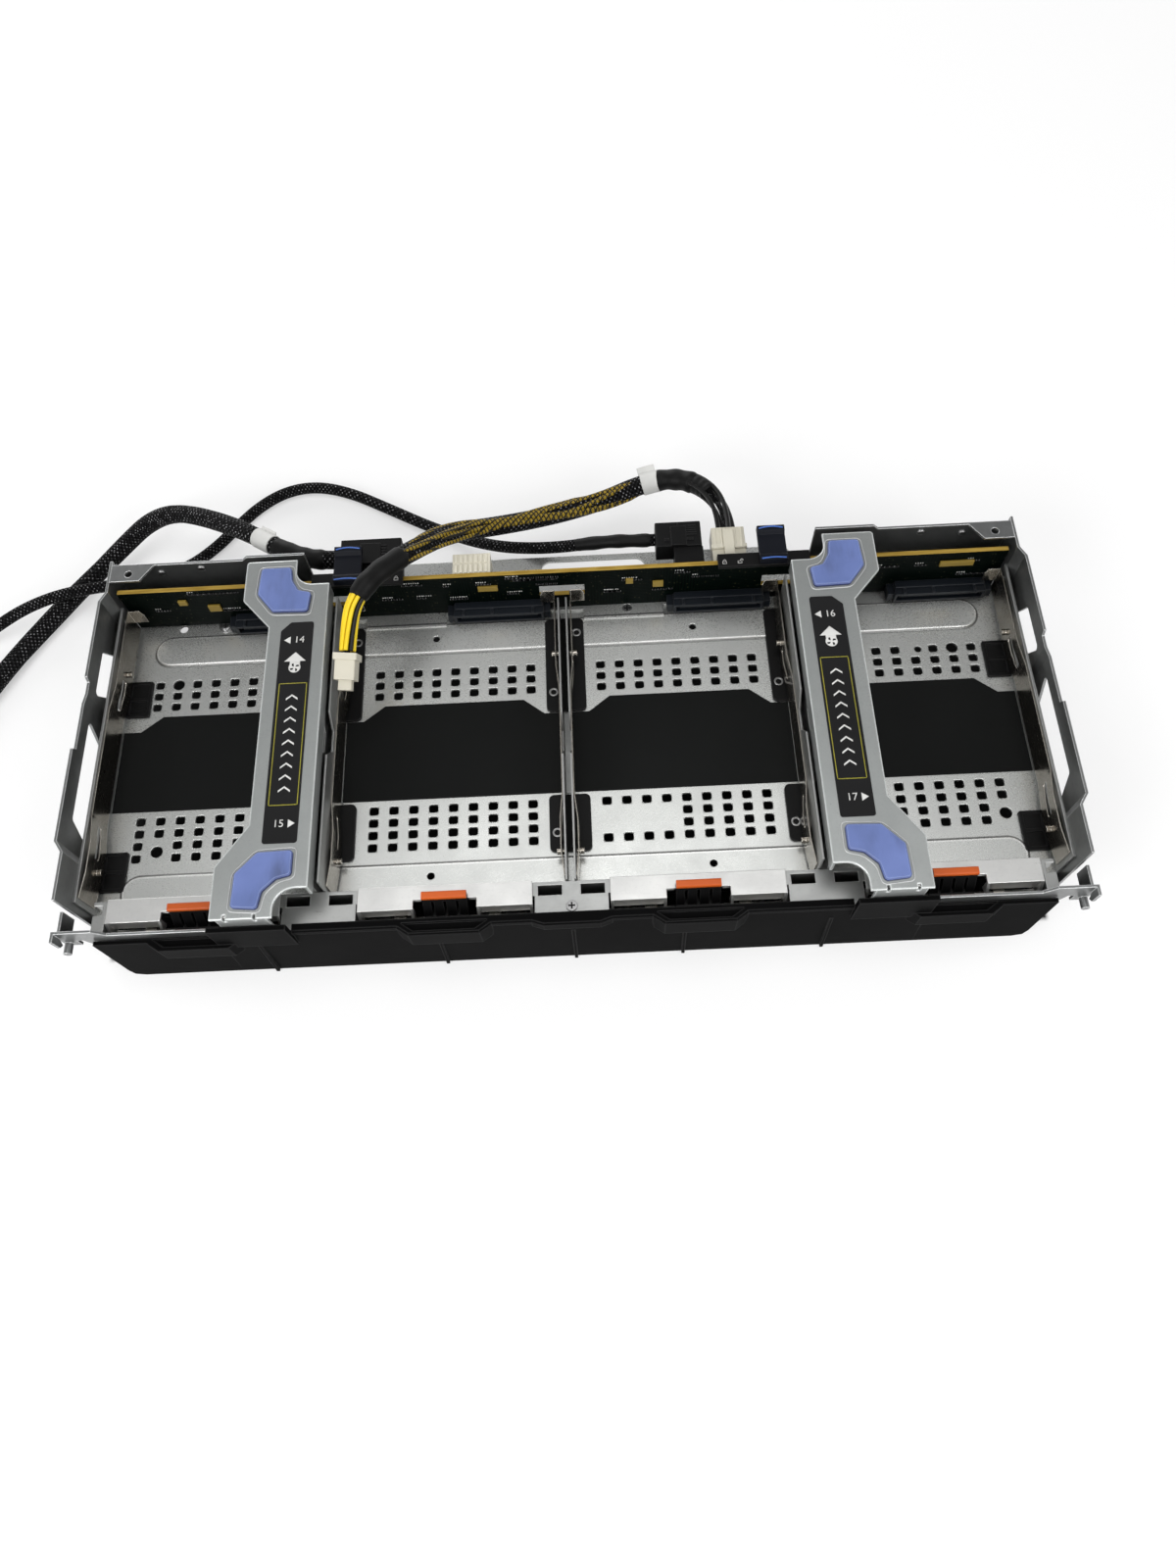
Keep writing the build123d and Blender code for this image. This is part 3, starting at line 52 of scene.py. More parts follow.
# Place in millimetres, angles in degrees
cameraSettings = {"place": (15.9, -201.7, 461.3), "pitch": 65.46, "yaw": -1.98, "roll": 4.5, "lens": 25.2}
pitch, yaw, roll = [math.radians(cameraSettings[key]) for key in ("pitch", "yaw", "roll")]
forward = Vector((math.sin(yaw) * math.cos(pitch), math.cos(yaw) * math.cos(pitch), -math.sin(pitch)))
level = Vector((math.cos(yaw), -math.sin(yaw), 0))
down = forward.cross(level)
right = level * math.cos(roll) + down * math.sin(roll)
down = down * math.cos(roll) - level * math.sin(roll)
camera = bpy.data.objects.new("camera", bpy.data.cameras.new("camera"))
turn = Matrix((right, -down, -forward)).transposed().to_4x4()
camera.matrix_world = Matrix.Translation(at(*cameraSettings["place"])) @ turn
camera.data.sensor_width = 36
camera.data.lens = cameraSettings["lens"]
camera.data.clip_start = 0.02
scene.collection.objects.link(camera)
scene.camera = camera
scene.view_settings.view_transform = "Standard"

print("stage: cord routes and tubes")

# The same points as the part's own cords, in millimetres
leadRoute = [
    (81.4, 129.4, 21.8), (81.4, 139.0, 21.8), (78.2, 153.2, 20.8), (68.8, 165.6, 18.0), (55.0, 172.2, 13.8),
    (39.6, 171.4, 9.6), (24.6, 167.0, 6.2), (6.0, 162.6, 4.0), (-14.0, 157.6, 4.6), (-33.0, 150.8, 9.4),
    (-48.0, 142.0, 18.4), (-58.8, 129.8, 29.6), (-67.2, 116.4, 39.8), (-75.4, 104.8, 47.2),
    (-84.4, 94.8, 50.0), (-91.2, 85.6, 48.8), (-95.2, 76.6, 45.4), (-96.8, 61.0, 38.8)]
thinRoute = [
    (46.5, 128.2, 21.6), (38.0, 128.2, 21.6), (26.6, 129.6, 20.4), (13.6, 131.4, 17.0), (-0.6, 134.2, 11.6),
    (-16.0, 139.6, 4.6), (-32.6, 148.2, -4.2), (-51.0, 160.2, -12.6), (-72.0, 174.2, -17.8),
    (-94.0, 188.0, -19.0), (-115.4, 200.4, -19.0), (-134.4, 206.2, -19.0), (-151.2, 204.0, -19.0),
    (-165.4, 194.6, -19.0), (-176.6, 181.6, -19.0), (-187.2, 167.8, -19.0), (-200.6, 155.6, -18.6),
    (-216.8, 146.8, -15.6), (-233.6, 140.8, -10.4), (-249.4, 136.4, -7.0), (-265.0, 132.6, -7.0),
    (-280.8, 127.6, -9.6), (-296.4, 120.2, -14.0), (-310.6, 110.4, -17.4), (-324.0, 98.6, -18.4),
    (-336.6, 86.4, -18.4)]
wideRoute = [
    (-106.6, 126.6, 20.4), (-117.4, 126.6, 20.4), (-132.6, 131.6, 19.8), (-152.3, 146.0, 17.0),
    (-169.6, 157.6, 13.0), (-187.2, 168.4, 8.0), (-203.6, 175.2, 2.6), (-219.2, 174.0, -3.0),
    (-232.6, 164.6, -8.8), (-246.9, 150.8, -13.6), (-262.2, 134.0, -16.4), (-275.1, 116.4, -17.0),
    (-285.8, 99.0, -17.0), (-294.7, 82.2, -17.0), (-303.0, 65.6, -17.0)]

# Radii in millimetres and lengths in metres
cords = {
    "lead": {"radius": 4.8, "length": 0.2734},
    "thin": {"radius": 3.0, "length": 0.450},
    "wide": {"radius": 4.6, "length": 0.268}}


# A smooth spline with the route's points as its control points
def smoothSpline(curve, places):
    spline = curve.splines.new("NURBS")
    spline.points.add(len(places) - 1)
    for point, place in zip(spline.points, places):
        point.co = (*place, 1)
    spline.order_u = 3
    spline.use_endpoint_u = True
    return spline


# The route's line, read from its own spline, and how far along in millimetres each point of it lies
def centreLine(route):
    curve = bpy.data.curves.new("routeLine", "CURVE")
    curve.dimensions = "3D"
    curve.resolution_u = 24
    smoothSpline(curve, route)
    obj = bpy.data.objects.new("routeLine", curve)
    mesh = bpy.data.meshes.new_from_object(obj)
    line = [vertex.co.copy() for vertex in mesh.vertices]
    bpy.data.objects.remove(obj)
    bpy.data.meshes.remove(mesh)
    bpy.data.curves.remove(curve)
    along = [0.0]
    for a, b in zip(line, line[1:]):
        along.append(along[-1] + (b - a).length)
    return line, along


# Points beside the centre line: a ring radius and a winding angle that grows along the cord
def strandPoints(route, start, end, ring, angle=0.0, twist=0.0, sway=0.0):
    line, along = centreLine(route)
    side = Vector((0.0, 0.0, 1.0))
    points = []
    for i, place in enumerate(line):
        ahead = (line[min(i + 1, len(line) - 1)] - line[max(i - 1, 0)]).normalized()
        side = (side - ahead * side.dot(ahead)).normalized()
        if start <= along[i] <= end:
            share = (along[i] - start) / (end - start)
            phase = angle + twist * share + sway * math.sin(share * 7.0 + angle)
            across = side * math.cos(phase) + ahead.cross(side) * math.sin(phase)
            points.append(place + across * ring)
    return points


# Makes an object of a mesh or curve, on a body and with a slot
def addPiece(name, data, material, body="chassis", location=(0, 0, 0)):
    obj = bpy.data.objects.new(name, data)
    obj.location = location
    scene.collection.objects.link(obj)
    data.materials.append(material)
    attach(obj, body)
    return obj


def roundCurve(name, radius, sides):
    curve = bpy.data.curves.new(name, "CURVE")
    curve.dimensions = "3D"
    curve.bevel_depth = radius / 1000
    curve.bevel_resolution = sides
    curve.use_fill_caps = True
    return curve


# A whole cable, as a tube on the smooth spline of its route
def cable(name, route, radius, material, shares=None):
    curve = roundCurve(name, radius, 5)
    curve.resolution_u = 10
    spline = smoothSpline(curve, [at(*place) for place in route])
    for point, share in zip(spline.points, shares or []):
        point.radius = share
    return addPiece(name, curve, material)


# Several thin tubes through lists of points, as one piece
def tubes(name, lines, radius, material, body="chassis", sides=3, taper=None):
    curve = roundCurve(name, radius, sides)
    for line in lines:
        spline = curve.splines.new("POLY")
        spline.points.add(len(line) - 1)
        for index, (point, place) in enumerate(zip(spline.points, line)):
            point.co = (*at(*place), 1)
            point.radius = taper(index / (len(line) - 1)) if taper else 1.0
    addPiece(name, curve, material, body)


print("stage: light")
world = bpy.data.worlds.new("studio")
world.use_nodes = True
tree = world.node_tree
direction = tree.nodes.new("ShaderNodeTexCoord").outputs["Generated"]
height = tree.nodes.new("ShaderNodeSeparateXYZ")
tree.links.new(direction, height.inputs[0])
sky = tree.nodes.new("ShaderNodeValToRGB")
# Brightness by height: pale at the horizon, dim half way up and bright straight overhead
skySteps = ((0.0, 0.95), (0.32, 0.9), (0.55, 0.27), (0.72, 0.1), (0.85, 0.125), (0.90, 0.56), (0.94, 2.2),
            (1.0, 2.6))
sky.color_ramp.elements[0].color = (*[skySteps[0][1]] * 3, 1)
sky.color_ramp.elements[1].color = (*[skySteps[-1][1]] * 3, 1)
for place, value in skySteps[1:-1]:
    sky.color_ramp.elements.new(place).color = (value, value, value, 1)
tree.links.new(height.outputs["Z"], sky.inputs[0])
tree.links.new(sky.outputs[0], tree.nodes["Background"].inputs["Color"])
tree.nodes["Background"].inputs["Strength"].default_value = 1.0
scene.world = world

lamps = {
    "keyLight": {"place": (-0.95, -1.0, 0.95), "size": (0.9, 0.6), "power": 12},
    "fillLight": {"place": (0.95, -0.9, 0.95), "size": (0.9, 0.6), "power": 9},
    "rimLight": {"place": (-0.5, 1.3, 0.55), "size": (0.9, 0.4), "power": 5}}
for lampName, lampSettings in lamps.items():
    light = bpy.data.lights.new(lampName, "AREA")
    light.shape = "RECTANGLE"
    light.size, light.size_y = lampSettings["size"]
    light.energy = lampSettings["power"]
    lampObject = bpy.data.objects.new(lampName, light)
    lampObject.location = lampSettings["place"]
    aim = Vector((0, 0, 0.03)) - lampObject.location
    lampObject.rotation_euler = aim.to_track_quat("-Z", "Y").to_euler()
    scene.collection.objects.link(lampObject)

print("stage: material helpers")


class Look:
    # Short calls for building a material's nodes
    def __init__(self, name):
        self.material = bpy.data.materials.new(name)
        self.material.use_nodes = True
        self.tree = self.material.node_tree
        self.shader = self.tree.nodes["Principled BSDF"]
        self.coords = self.tree.nodes.new("ShaderNodeTexCoord").outputs["Object"]

    def node(self, kind, inputs=None, **settings):
        made = self.tree.nodes.new(kind)
        for key, value in settings.items():
            setattr(made, key, value)
        for key, value in (inputs or {}).items():
            self.feed(made.inputs[key], value)
        return made

    def feed(self, socket, value):
        if isinstance(value, bpy.types.NodeSocket):
            self.tree.links.new(value, socket)
        else:
            socket.default_value = value

    def scaled(self, scale):
        return self.node("ShaderNodeMapping", {"Vector": self.coords, "Scale": scale}).outputs["Vector"]

    def noise(self, scale, detail=4, roughness=0.55, vector=None):
        source = self.coords if vector is None else vector
        return self.node("ShaderNodeTexNoise", {
            "Vector": source, "Scale": scale, "Detail": detail, "Roughness": roughness}).outputs["Fac"]

    def cells(self, scale):
        return self.node("ShaderNodeTexVoronoi", {"Vector": self.coords, "Scale": scale})

    def calc(self, operation, a, b=0.0):
        return self.node("ShaderNodeMath", {0: a, 1: b}, operation=operation).outputs[0]

    def spread(self, value, low, high, toLow=0.0, toHigh=1.0):
        return self.node("ShaderNodeMapRange", {
            "Value": value, "From Min": low, "From Max": high, "To Min": toLow,
            "To Max": toHigh}).outputs["Result"]

    def axes(self, vector=None):
        source = self.coords if vector is None else vector
        return self.node("ShaderNodeSeparateXYZ", {"Vector": source}).outputs

    def mix(self, factor, a, b):
        made = self.node("ShaderNodeMix", data_type="RGBA")
        self.feed(made.inputs["Factor"], factor)
        self.feed(made.inputs[6], (*a, 1) if isinstance(a, tuple) else a)
        self.feed(made.inputs[7], (*b, 1) if isinstance(b, tuple) else b)
        return made.outputs[2]

    def bump(self, heightValue, distance, strength=1.0, normal=None):
        made = self.node("ShaderNodeBump", {"Height": heightValue, "Distance": distance,
                                            "Strength": strength})
        if normal is not None:
            self.feed(made.inputs["Normal"], normal)
        return made.outputs["Normal"]

    def rounded(self, radius):
        return self.node("ShaderNodeBevel", {"Radius": radius}, samples=6).outputs["Normal"]

    # Near one on sharp edges and zero on flat faces
    def edgeMask(self, roundNormal, low=0.05, high=0.4):
        flat = self.node("ShaderNodeNewGeometry").outputs["Normal"]
        gap = self.node("ShaderNodeVectorMath", {0: roundNormal, 1: flat},
                        operation="DISTANCE").outputs["Value"]
        return self.spread(gap, low, high)

    def finish(self, **values):
        for key, value in values.items():
            label = key[0].upper() + "".join(" " + c if c.isupper() else c for c in key[1:])
            label = label.replace("I O R", "IOR")
            if isinstance(value, tuple) and len(value) == 3:
                value = (*value, 1)
            self.feed(self.shader.inputs[label], value)
        return self.material


# Sheet metal: cloudy plating, fine rolling streaks and brighter edges, partly wear and partly a painted
# highlight
def metal(name, colour, dark, roughness, streak=(1, 1, 1), wear=0.4, grain=1500, mottled=30, metallic=1.0,
          roundness=0.0005, relief=0.000006, edgeLift=1.35, speckle=0.25, marks=None):
    g = Look(name)
    cloud = g.noise(mottled, 5, 0.6)
    fine = g.noise(grain, 3, 0.6, g.scaled(streak))
    speck = g.noise(grain * 0.45, 2, 0.5)
    shade = g.mix(g.spread(cloud, 0.3, 0.7), dark, colour)
    shade = g.mix(g.spread(speck, 0.55, 0.75, 0.0, speckle), shade, tuple(c * 0.7 for c in colour))
    if marks:
        shade = marks(g, shade)
    soft = g.rounded(roundness)
    bright = tuple(min(1.0, c * edgeLift + 0.05) for c in colour)
    # Paler edges: partly wear, partly a painted highlight on the bends
    shade = g.mix(g.calc("MULTIPLY", g.edgeMask(soft), wear), shade, bright)
    rough = g.calc("ADD", g.spread(fine, 0.3, 0.7, roughness - 0.06, roughness + 0.06),
                   g.spread(cloud, 0.3, 0.7, 0.04, -0.04))
    normal = g.bump(fine, relief, 0.3, soft)
    return g.finish(baseColor=shade, metallic=metallic, roughness=rough, normal=normal)


# Moulded plastic: a fine spark-eroded grain, faint clouding and paler edges, partly rubbed wear and partly a
# painted highlight
def plastic(name, colour, roughness, grain=1400, depth=0.00003, wear=0.25, cloud=20, shine=0.5,
            roundness=0.0005, rub=0.03):
    g = Look(name)
    soft = g.noise(cloud, 4)
    fine = g.noise(grain, 3, 0.7)
    pale = tuple(min(1.0, c * 1.12) for c in colour)
    shade = g.mix(g.spread(soft, 0.3, 0.7), tuple(c * 0.85 for c in colour), pale)
    bend = g.rounded(roundness)
    rubbedAndLit = tuple(min(1.0, c * 1.5 + rub) for c in colour)
    # Paler edges: partly rubbed wear, partly a painted highlight
    shade = g.mix(g.calc("MULTIPLY", g.edgeMask(bend), wear), shade, rubbedAndLit)
    rough = g.spread(soft, 0.3, 0.7, roughness - 0.05, roughness + 0.06)
    normal = g.bump(fine, depth, 0.6, bend)
    return g.finish(baseColor=shade, roughness=rough, specularIORLevel=shine, normal=normal)


# Braided sleeve: two crossing sets of strands, with painted highlights (glints) where they cross
def sleeve(name, length, pitchLength, around, tint=(0.009, 0.009, 0.0095), glint=0.3):
    g = Look(name)
    parts = g.axes(g.node("ShaderNodeTexCoord").outputs["UV"])
    along = g.calc("MULTIPLY", parts["X"], length / pitchLength * 2 * math.pi)
    about = g.calc("MULTIPLY", parts["Y"], around * 2 * math.pi)
    first = g.calc("SINE", g.calc("ADD", along, about))
    second = g.calc("SINE", g.calc("SUBTRACT", along, about))
    strands = g.calc("MAXIMUM", first, second)
    crossing = g.spread(g.calc("MINIMUM", first, second), 0.25, 0.85)
    patchy = g.spread(g.noise(420, 3, 0.6), 0.44, 0.6)
    shade = g.mix(g.spread(strands, -0.4, 1.0), (0.0015, 0.0015, 0.0016), tint)
    # Painted highlight: paler glints where the strands cross
    shade = g.mix(g.calc("MULTIPLY", crossing, patchy), shade, (glint, glint, glint * 1.02))
    normal = g.bump(strands, 0.0003, 0.9)
    return g.finish(baseColor=shade, roughness=0.5, specularIORLevel=0.05, normal=normal)


print("stage: finishes")
# The deck's raised ribs in millimetres, and its square holes in metres
deck = {"ribRearY": 90.9, "ribFrontY": -34.9, "ribHalf": 202.5, "ribWidth": 16.5,
        "footShadowLine": (0.06, 0.06, 0.058), "shoulderHighlightLine": (1.0, 1.0, 0.98), "sheet": 0.0012,
        "holeCorner": 0.00115, "widestHole": 0.006}


# Painted shadow line at the foot of each raised rib and a painted highlight line on its shoulder
def ribLines(g, shade):
    parts = g.axes()
    half = deck["ribWidth"] / 2000
    straight = deck["ribHalf"] / 1000 - half
    past = g.calc("MAXIMUM", g.calc("SUBTRACT", g.calc("ABSOLUTE", parts["X"]), straight), 0.0)
    for ribY in (deck["ribRearY"], deck["ribFrontY"]):
        across = g.calc("SUBTRACT", parts["Y"], ribY / 1000 + deckY)
        square = g.calc("ADD", g.calc("MULTIPLY", past, past), g.calc("MULTIPLY", across, across))
        reach = g.calc("SQRT", square)
        for offset, colour in ((0.0001, deck["footShadowLine"]), (-0.0009, deck["shoulderHighlightLine"])):
            gap = g.calc("ABSOLUTE", g.calc("SUBTRACT", reach, half + offset))
            shade = g.mix(g.spread(gap, 0.0001, 0.0007, 0.9, 0.0), shade, colour)
    return shade


# Pads: sides painted darker as shade, a paler crest that is partly rubbed wear and partly a painted highlight,
# and thumb smudges dragged along them
def padLook():
    g = Look("padBlue")
    soft = g.noise(35, 4)
    shade = g.mix(g.spread(soft, 0.3, 0.7), (0.105, 0.15, 0.35), (0.15, 0.205, 0.465))
    drag = g.noise(60, 5, 0.65, g.scaled((1, 0.25, 1)))
    patch = g.noise(28, 2, 0.5)
    smudge = g.calc("MULTIPLY", g.spread(drag, 0.46, 0.62), g.spread(patch, 0.45, 0.62))
    shade = g.mix(g.calc("MULTIPLY", smudge, 0.55), shade, (0.045, 0.055, 0.10))
    bend = g.rounded(0.0008)
    normal = g.axes(g.node("ShaderNodeNewGeometry").outputs["Normal"])
    # Paler crest on the pad's edges: partly rubbed wear, partly a painted highlight
    shade = g.mix(g.edgeMask(bend, 0.1, 0.5), shade, (0.30, 0.37, 0.66))
    # Painted shade: faces turned away from straight up go dark blue
    shade = g.mix(g.spread(normal["Z"], 0.85, 0.5), shade, (0.022, 0.032, 0.12))
    rough = g.spread(drag, 0.35, 0.7, 0.34, 0.5)
    return g.finish(baseColor=shade, roughness=rough, specularIORLevel=0.35,
                    normal=g.bump(g.noise(1600, 3, 0.7), 0.00003, 0.5, bend))


# Board: dark solder mask with faint traces and vias, and a bare amber laminate along its top edge
def boardLook():
    g = Look("boardLaminate")
    parts = g.axes()
    region = g.spread(g.noise(45, 2, 0.5), 0.45, 0.55)
    lines = g.spread(g.calc("SINE", g.calc("MULTIPLY", parts["Z"], 5200)), 0.2, 0.9)
    columns = g.spread(g.calc("SINE", g.calc("MULTIPLY", parts["X"], 4300)), 0.3, 0.9)
    traces = g.calc("ADD", g.calc("MULTIPLY", lines, region),
                    g.calc("MULTIPLY", columns, g.calc("SUBTRACT", 1.0, region)))
    shade = g.mix(g.calc("MULTIPLY", traces, 0.6), (0.0006, 0.0016, 0.0012), (0.002, 0.007, 0.0045))
    vias = g.cells(420).outputs["Distance"]
    shade = g.mix(g.spread(vias, 0.16, 0.1, 0.0, 0.35), shade, (0.12, 0.11, 0.06))
    normal = g.axes(g.node("ShaderNodeNewGeometry").outputs["Normal"])
    top = g.spread(normal["Z"], 0.6, 0.8)
    weave = g.spread(g.noise(900, 2, 0.5, g.scaled((0.1, 1, 1))), 0.35, 0.65)
    amber = g.mix(weave, (0.26, 0.165, 0.03), (0.40, 0.27, 0.06))
    return g.finish(baseColor=g.mix(top, shade, amber), roughness=g.spread(top, 0, 1, 0.4, 0.55),
                    specularIORLevel=0.03, normal=g.bump(traces, 0.00004, 0.5))


metals = {
    "deckSteel": {"colour": (0.68, 0.69, 0.67), "dark": (0.58, 0.59, 0.575), "roughness": 0.3,
                  "streak": (0.3, 1, 1), "wear": 0.3, "grain": 4200, "mottled": 35, "metallic": 0.8,
                  "relief": 0.0000003, "speckle": 0.03, "marks": ribLines},
    # Darker than the deck's steel as painted shade on the folded walls
    "foldSteel": {"colour": (0.42, 0.425, 0.415), "dark": (0.32, 0.325, 0.32), "roughness": 0.36,
                  "streak": (0.12, 1, 1), "wear": 0.8, "mottled": 35, "metallic": 0.85},
    "flapSteel": {"colour": (0.68, 0.68, 0.665), "dark": (0.57, 0.57, 0.56), "roughness": 0.36,
                  "streak": (0.1, 1, 1), "wear": 0.5, "mottled": 45, "metallic": 0.85},
    "brightSteel": {"colour": (0.66, 0.65, 0.62), "dark": (0.50, 0.49, 0.46), "roughness": 0.27,
                    "streak": (0.1, 1, 1), "wear": 0.6, "grain": 1800, "mottled": 45, "metallic": 0.95},
    "springSteel": {"colour": (0.50, 0.47, 0.42), "dark": (0.34, 0.31, 0.27), "roughness": 0.22,
                    "streak": (1, 0.1, 1), "wear": 0.9, "grain": 1800, "mottled": 60},
    # Sheet steel darkened as painted shade on the side plates, rear panels and corner brackets, with paler
    # edges as painted highlights
    "shadedSteel": {"colour": (0.28, 0.285, 0.285), "dark": (0.19, 0.195, 0.195), "roughness": 0.38,
                  "streak": (1, 0.2, 1), "wear": 1.0, "grain": 1200, "metallic": 0.9, "edgeLift": 2.4},
    # The bars' edges are lifted far paler as a painted highlight along their bends
    "barPaint": {"colour": (0.37, 0.385, 0.38), "dark": (0.30, 0.315, 0.31), "roughness": 0.34, "wear": 1.0,
                 "grain": 2400, "mottled": 25, "metallic": 0.6, "roundness": 0.0011, "edgeLift": 2.3},
    # A paler copy of the bar's metal, as a painted highlight on the pads' recess lips
    "barLipHighlight": {"colour": (0.6, 0.61, 0.61), "dark": (0.5, 0.51, 0.51), "roughness": 0.4, "wear": 0.3,
               "grain": 2400, "mottled": 25, "metallic": 0.5},
    "zincScrews": {"colour": (0.42, 0.42, 0.42), "dark": (0.28, 0.28, 0.28), "roughness": 0.35,
                   "mottled": 60}}
printed = {"grain": 2000, "depth": 0.00001, "wear": 0.0, "cloud": 40}
wireCoat = {"grain": 500, "depth": 0.00001, "wear": 0.0}
plastics = {
    "blackPlastic": {"colour": (0.005, 0.005, 0.0052), "roughness": 0.42, "shine": 0.14, "wear": 0.5},
    "shroudBlack": {"colour": (0.0035, 0.0035, 0.0036), "roughness": 0.48, "grain": 1200, "wear": 0.5,
                    "cloud": 14, "shine": 0.012, "roundness": 0.0007, "rub": 0.05},
    "connectorHousing": {"colour": (0.006, 0.008, 0.011), "roughness": 0.4, "shine": 0.2, "wear": 0.6},
    "blackFilm": {"colour": (0.0085, 0.009, 0.0088), "roughness": 0.6, "grain": 900, "depth": 0.00002,
                  "wear": 0.1, "cloud": 12, "shine": 0.06},
    "labelBlack": {"colour": (0.012, 0.012, 0.0125), "roughness": 0.5, "grain": 2000, "depth": 0.00001,
                   "wear": 0.05, "shine": 0.1},
    "sliderBlack": {"colour": (0.005, 0.006, 0.01), "roughness": 0.4, "shine": 0.15},
    "orangePlastic": {"colour": (0.50, 0.085, 0.008), "roughness": 0.35, "wear": 0.5, "shine": 0.35},
    "ivoryPlastic": {"colour": (0.60, 0.57, 0.47), "roughness": 0.4},
    "chipYellow": {"colour": (0.24, 0.165, 0.03), "roughness": 0.4, "shine": 0.2},
    "edgeBlue": {"colour": (0.035, 0.12, 0.45), "roughness": 0.35, "wear": 0.3},
    "printWhite": {"colour": (0.72, 0.72, 0.70), "roughness": 0.55, **printed},
    "printYellow": {"colour": (0.36, 0.33, 0.02), "roughness": 0.55, **printed},
    "blankWrap": {"colour": (0.62, 0.62, 0.60), "roughness": 0.5, **printed},
    "blackTape": {"colour": (0.005, 0.005, 0.005), "roughness": 0.5, "grain": 700, "depth": 0.0001,
                  "wear": 0.1, "cloud": 60, "shine": 0.15},
    "blackWire": {"colour": (0.006, 0.006, 0.006), "roughness": 0.3, "shine": 0.35, **wireCoat},
    "yellowWire": {"colour": (0.83, 0.60, 0.015), "roughness": 0.3, "shine": 0.4, **wireCoat}}
looks = {name: metal(name, **finish) for name, finish in metals.items()}
looks.update({name: plastic(name, **finish) for name, finish in plastics.items()})
looks.update({"padBlue": padLook(), "boardLaminate": boardLook()})

# The pieces from the part that wear each finish
wornBy = {
    "deckSteel": ["deck_pan", "rear_ledge"],
    "foldSteel": ["front_rail", "side_rail_left", "side_rail_right", "bay_divider_left", "bay_divider_centre",
                  "bay_divider_right"],
    "brightSteel": ["latch_pins", "latch_springs"],
    "flapSteel": [f"latch_flap_{k}" for k in range(1, 5)],
    "springSteel": [f"drive_springs_{k}" for k in range(1, 5)],
    "shadedSteel": ["side_plate_left", "side_plate_right", "rear_panel_left", "rear_panel_right",
                  "corner_bracket_left", "corner_bracket_right"],
    "barPaint": ["bridge_bar_left", "bridge_bar_right"],
    "zincScrews": ["screws"],
    "padBlue": ["touch_pads"],
    "labelBlack": ["label_strips"],
    "shroudBlack": ["air_shroud"],
    "blackPlastic": ["guide_plates_rear", "guide_plates_front", "guide_blocks", "release_bases",
                     "signal_sockets", "thin_cable_plug", "thin_cable_far_plug", "wide_cable_plug",
                     "wide_cable_far_plug", *[f"latch_lever_{k}" for k in range(1, 5)]],
    "connectorHousing": ["drive_connectors"],
    "blackFilm": ["insulating_films"],
    "orangePlastic": [f"release_tab_{k}" for k in range(1, 5)],
    "ivoryPlastic": ["power_headers", "power_plug", "lead_end_plug"],
    "chipYellow": ["board_components"],
    "sliderBlack": ["release_slider_left", "release_slider_right"],
    "boardLaminate": ["backplane_board"]}
for lookName, nodeNames in wornBy.items():
    for nodeName in nodeNames:
        nodes[nodeName].material_slots[0].material = looks[lookName]

print("stage: mesh helpers")
bayPitch = 107.7
bayMiddles = [bayPitch * (bay - 1.5) for bay in range(4)]
dividerPlaces = [-bayPitch, 0.0, bayPitch]
sideNames = {-1: "Left", 1: "Right"}


def circle(x, y, radius, count):
    angles = [k * 2 * math.pi / count for k in range(count)]
    return [(x + radius * math.cos(angle), y + radius * math.sin(angle)) for angle in angles]


def moved(points, x, y):
    return [(x + px, y + py) for px, py in points]


def turned(points, angle):
    cosine, sine = math.cos(angle), math.sin(angle)
    return [(px * cosine - py * sine, px * sine + py * cosine) for px, py in points]


# Adds one closed skin to a mesh: rings of as many points each, with both ends capped
def skinRings(mesh, rings):
    count = len(rings[0])
    mesh.faces.new(rings[0][::-1])
    mesh.faces.new(rings[-1])
    for lower, upper in zip(rings, rings[1:]):
        for k in range(count):
            mesh.faces.new([lower[k], lower[(k + 1) % count], upper[(k + 1) % count], upper[k]])


# Adds a flat outline with a thickness, from one height to another
def addPlate(mesh, points, low, high):
    skinRings(mesh, [[mesh.verts.new(at(x, y, z)) for x, y in points] for z in (low, high)])


# Adds a block between two corners
def addBlock(mesh, low, high):
    (x0, y0, z0), (x1, y1, z1) = low, high
    addPlate(mesh, [(x0, y0), (x1, y0), (x1, y1), (x0, y1)], z0, z1)


# Turns a finished mesh into a piece, with softened edges where a width is given
def piece(name, mesh, material, bevel=0.0):
    data = bpy.data.meshes.new(name)
    bmesh.ops.recalc_face_normals(mesh, faces=mesh.faces)
    mesh.to_mesh(data)
    mesh.free()
    obj = addPiece(name, data, material)
    if bevel:
        edge = obj.modifiers.new("softEdge", "BEVEL")
        edge.width = bevel / 1000
        edge.segments = 2


print("stage: cords")
# How far one turn of the braid runs along the cord, in metres, and how many strands lie round it
braids = {
    "leadBraid": {"length": cords["lead"]["length"], "pitchLength": 0.0024, "around": 10,
                  "tint": (0.008, 0.008, 0.0085), "glint": 0.35},
    "thinBraid": {"length": cords["thin"]["length"], "pitchLength": 0.0022, "around": 7},
    "wideBraid": {"length": cords["wide"]["length"], "pitchLength": 0.0024, "around": 10},
    "bundleBraid": {"length": 0.238, "pitchLength": 0.0022, "around": 6, "glint": 0.4}}
looks.update({name: sleeve(name, **braid) for name, braid in braids.items()})

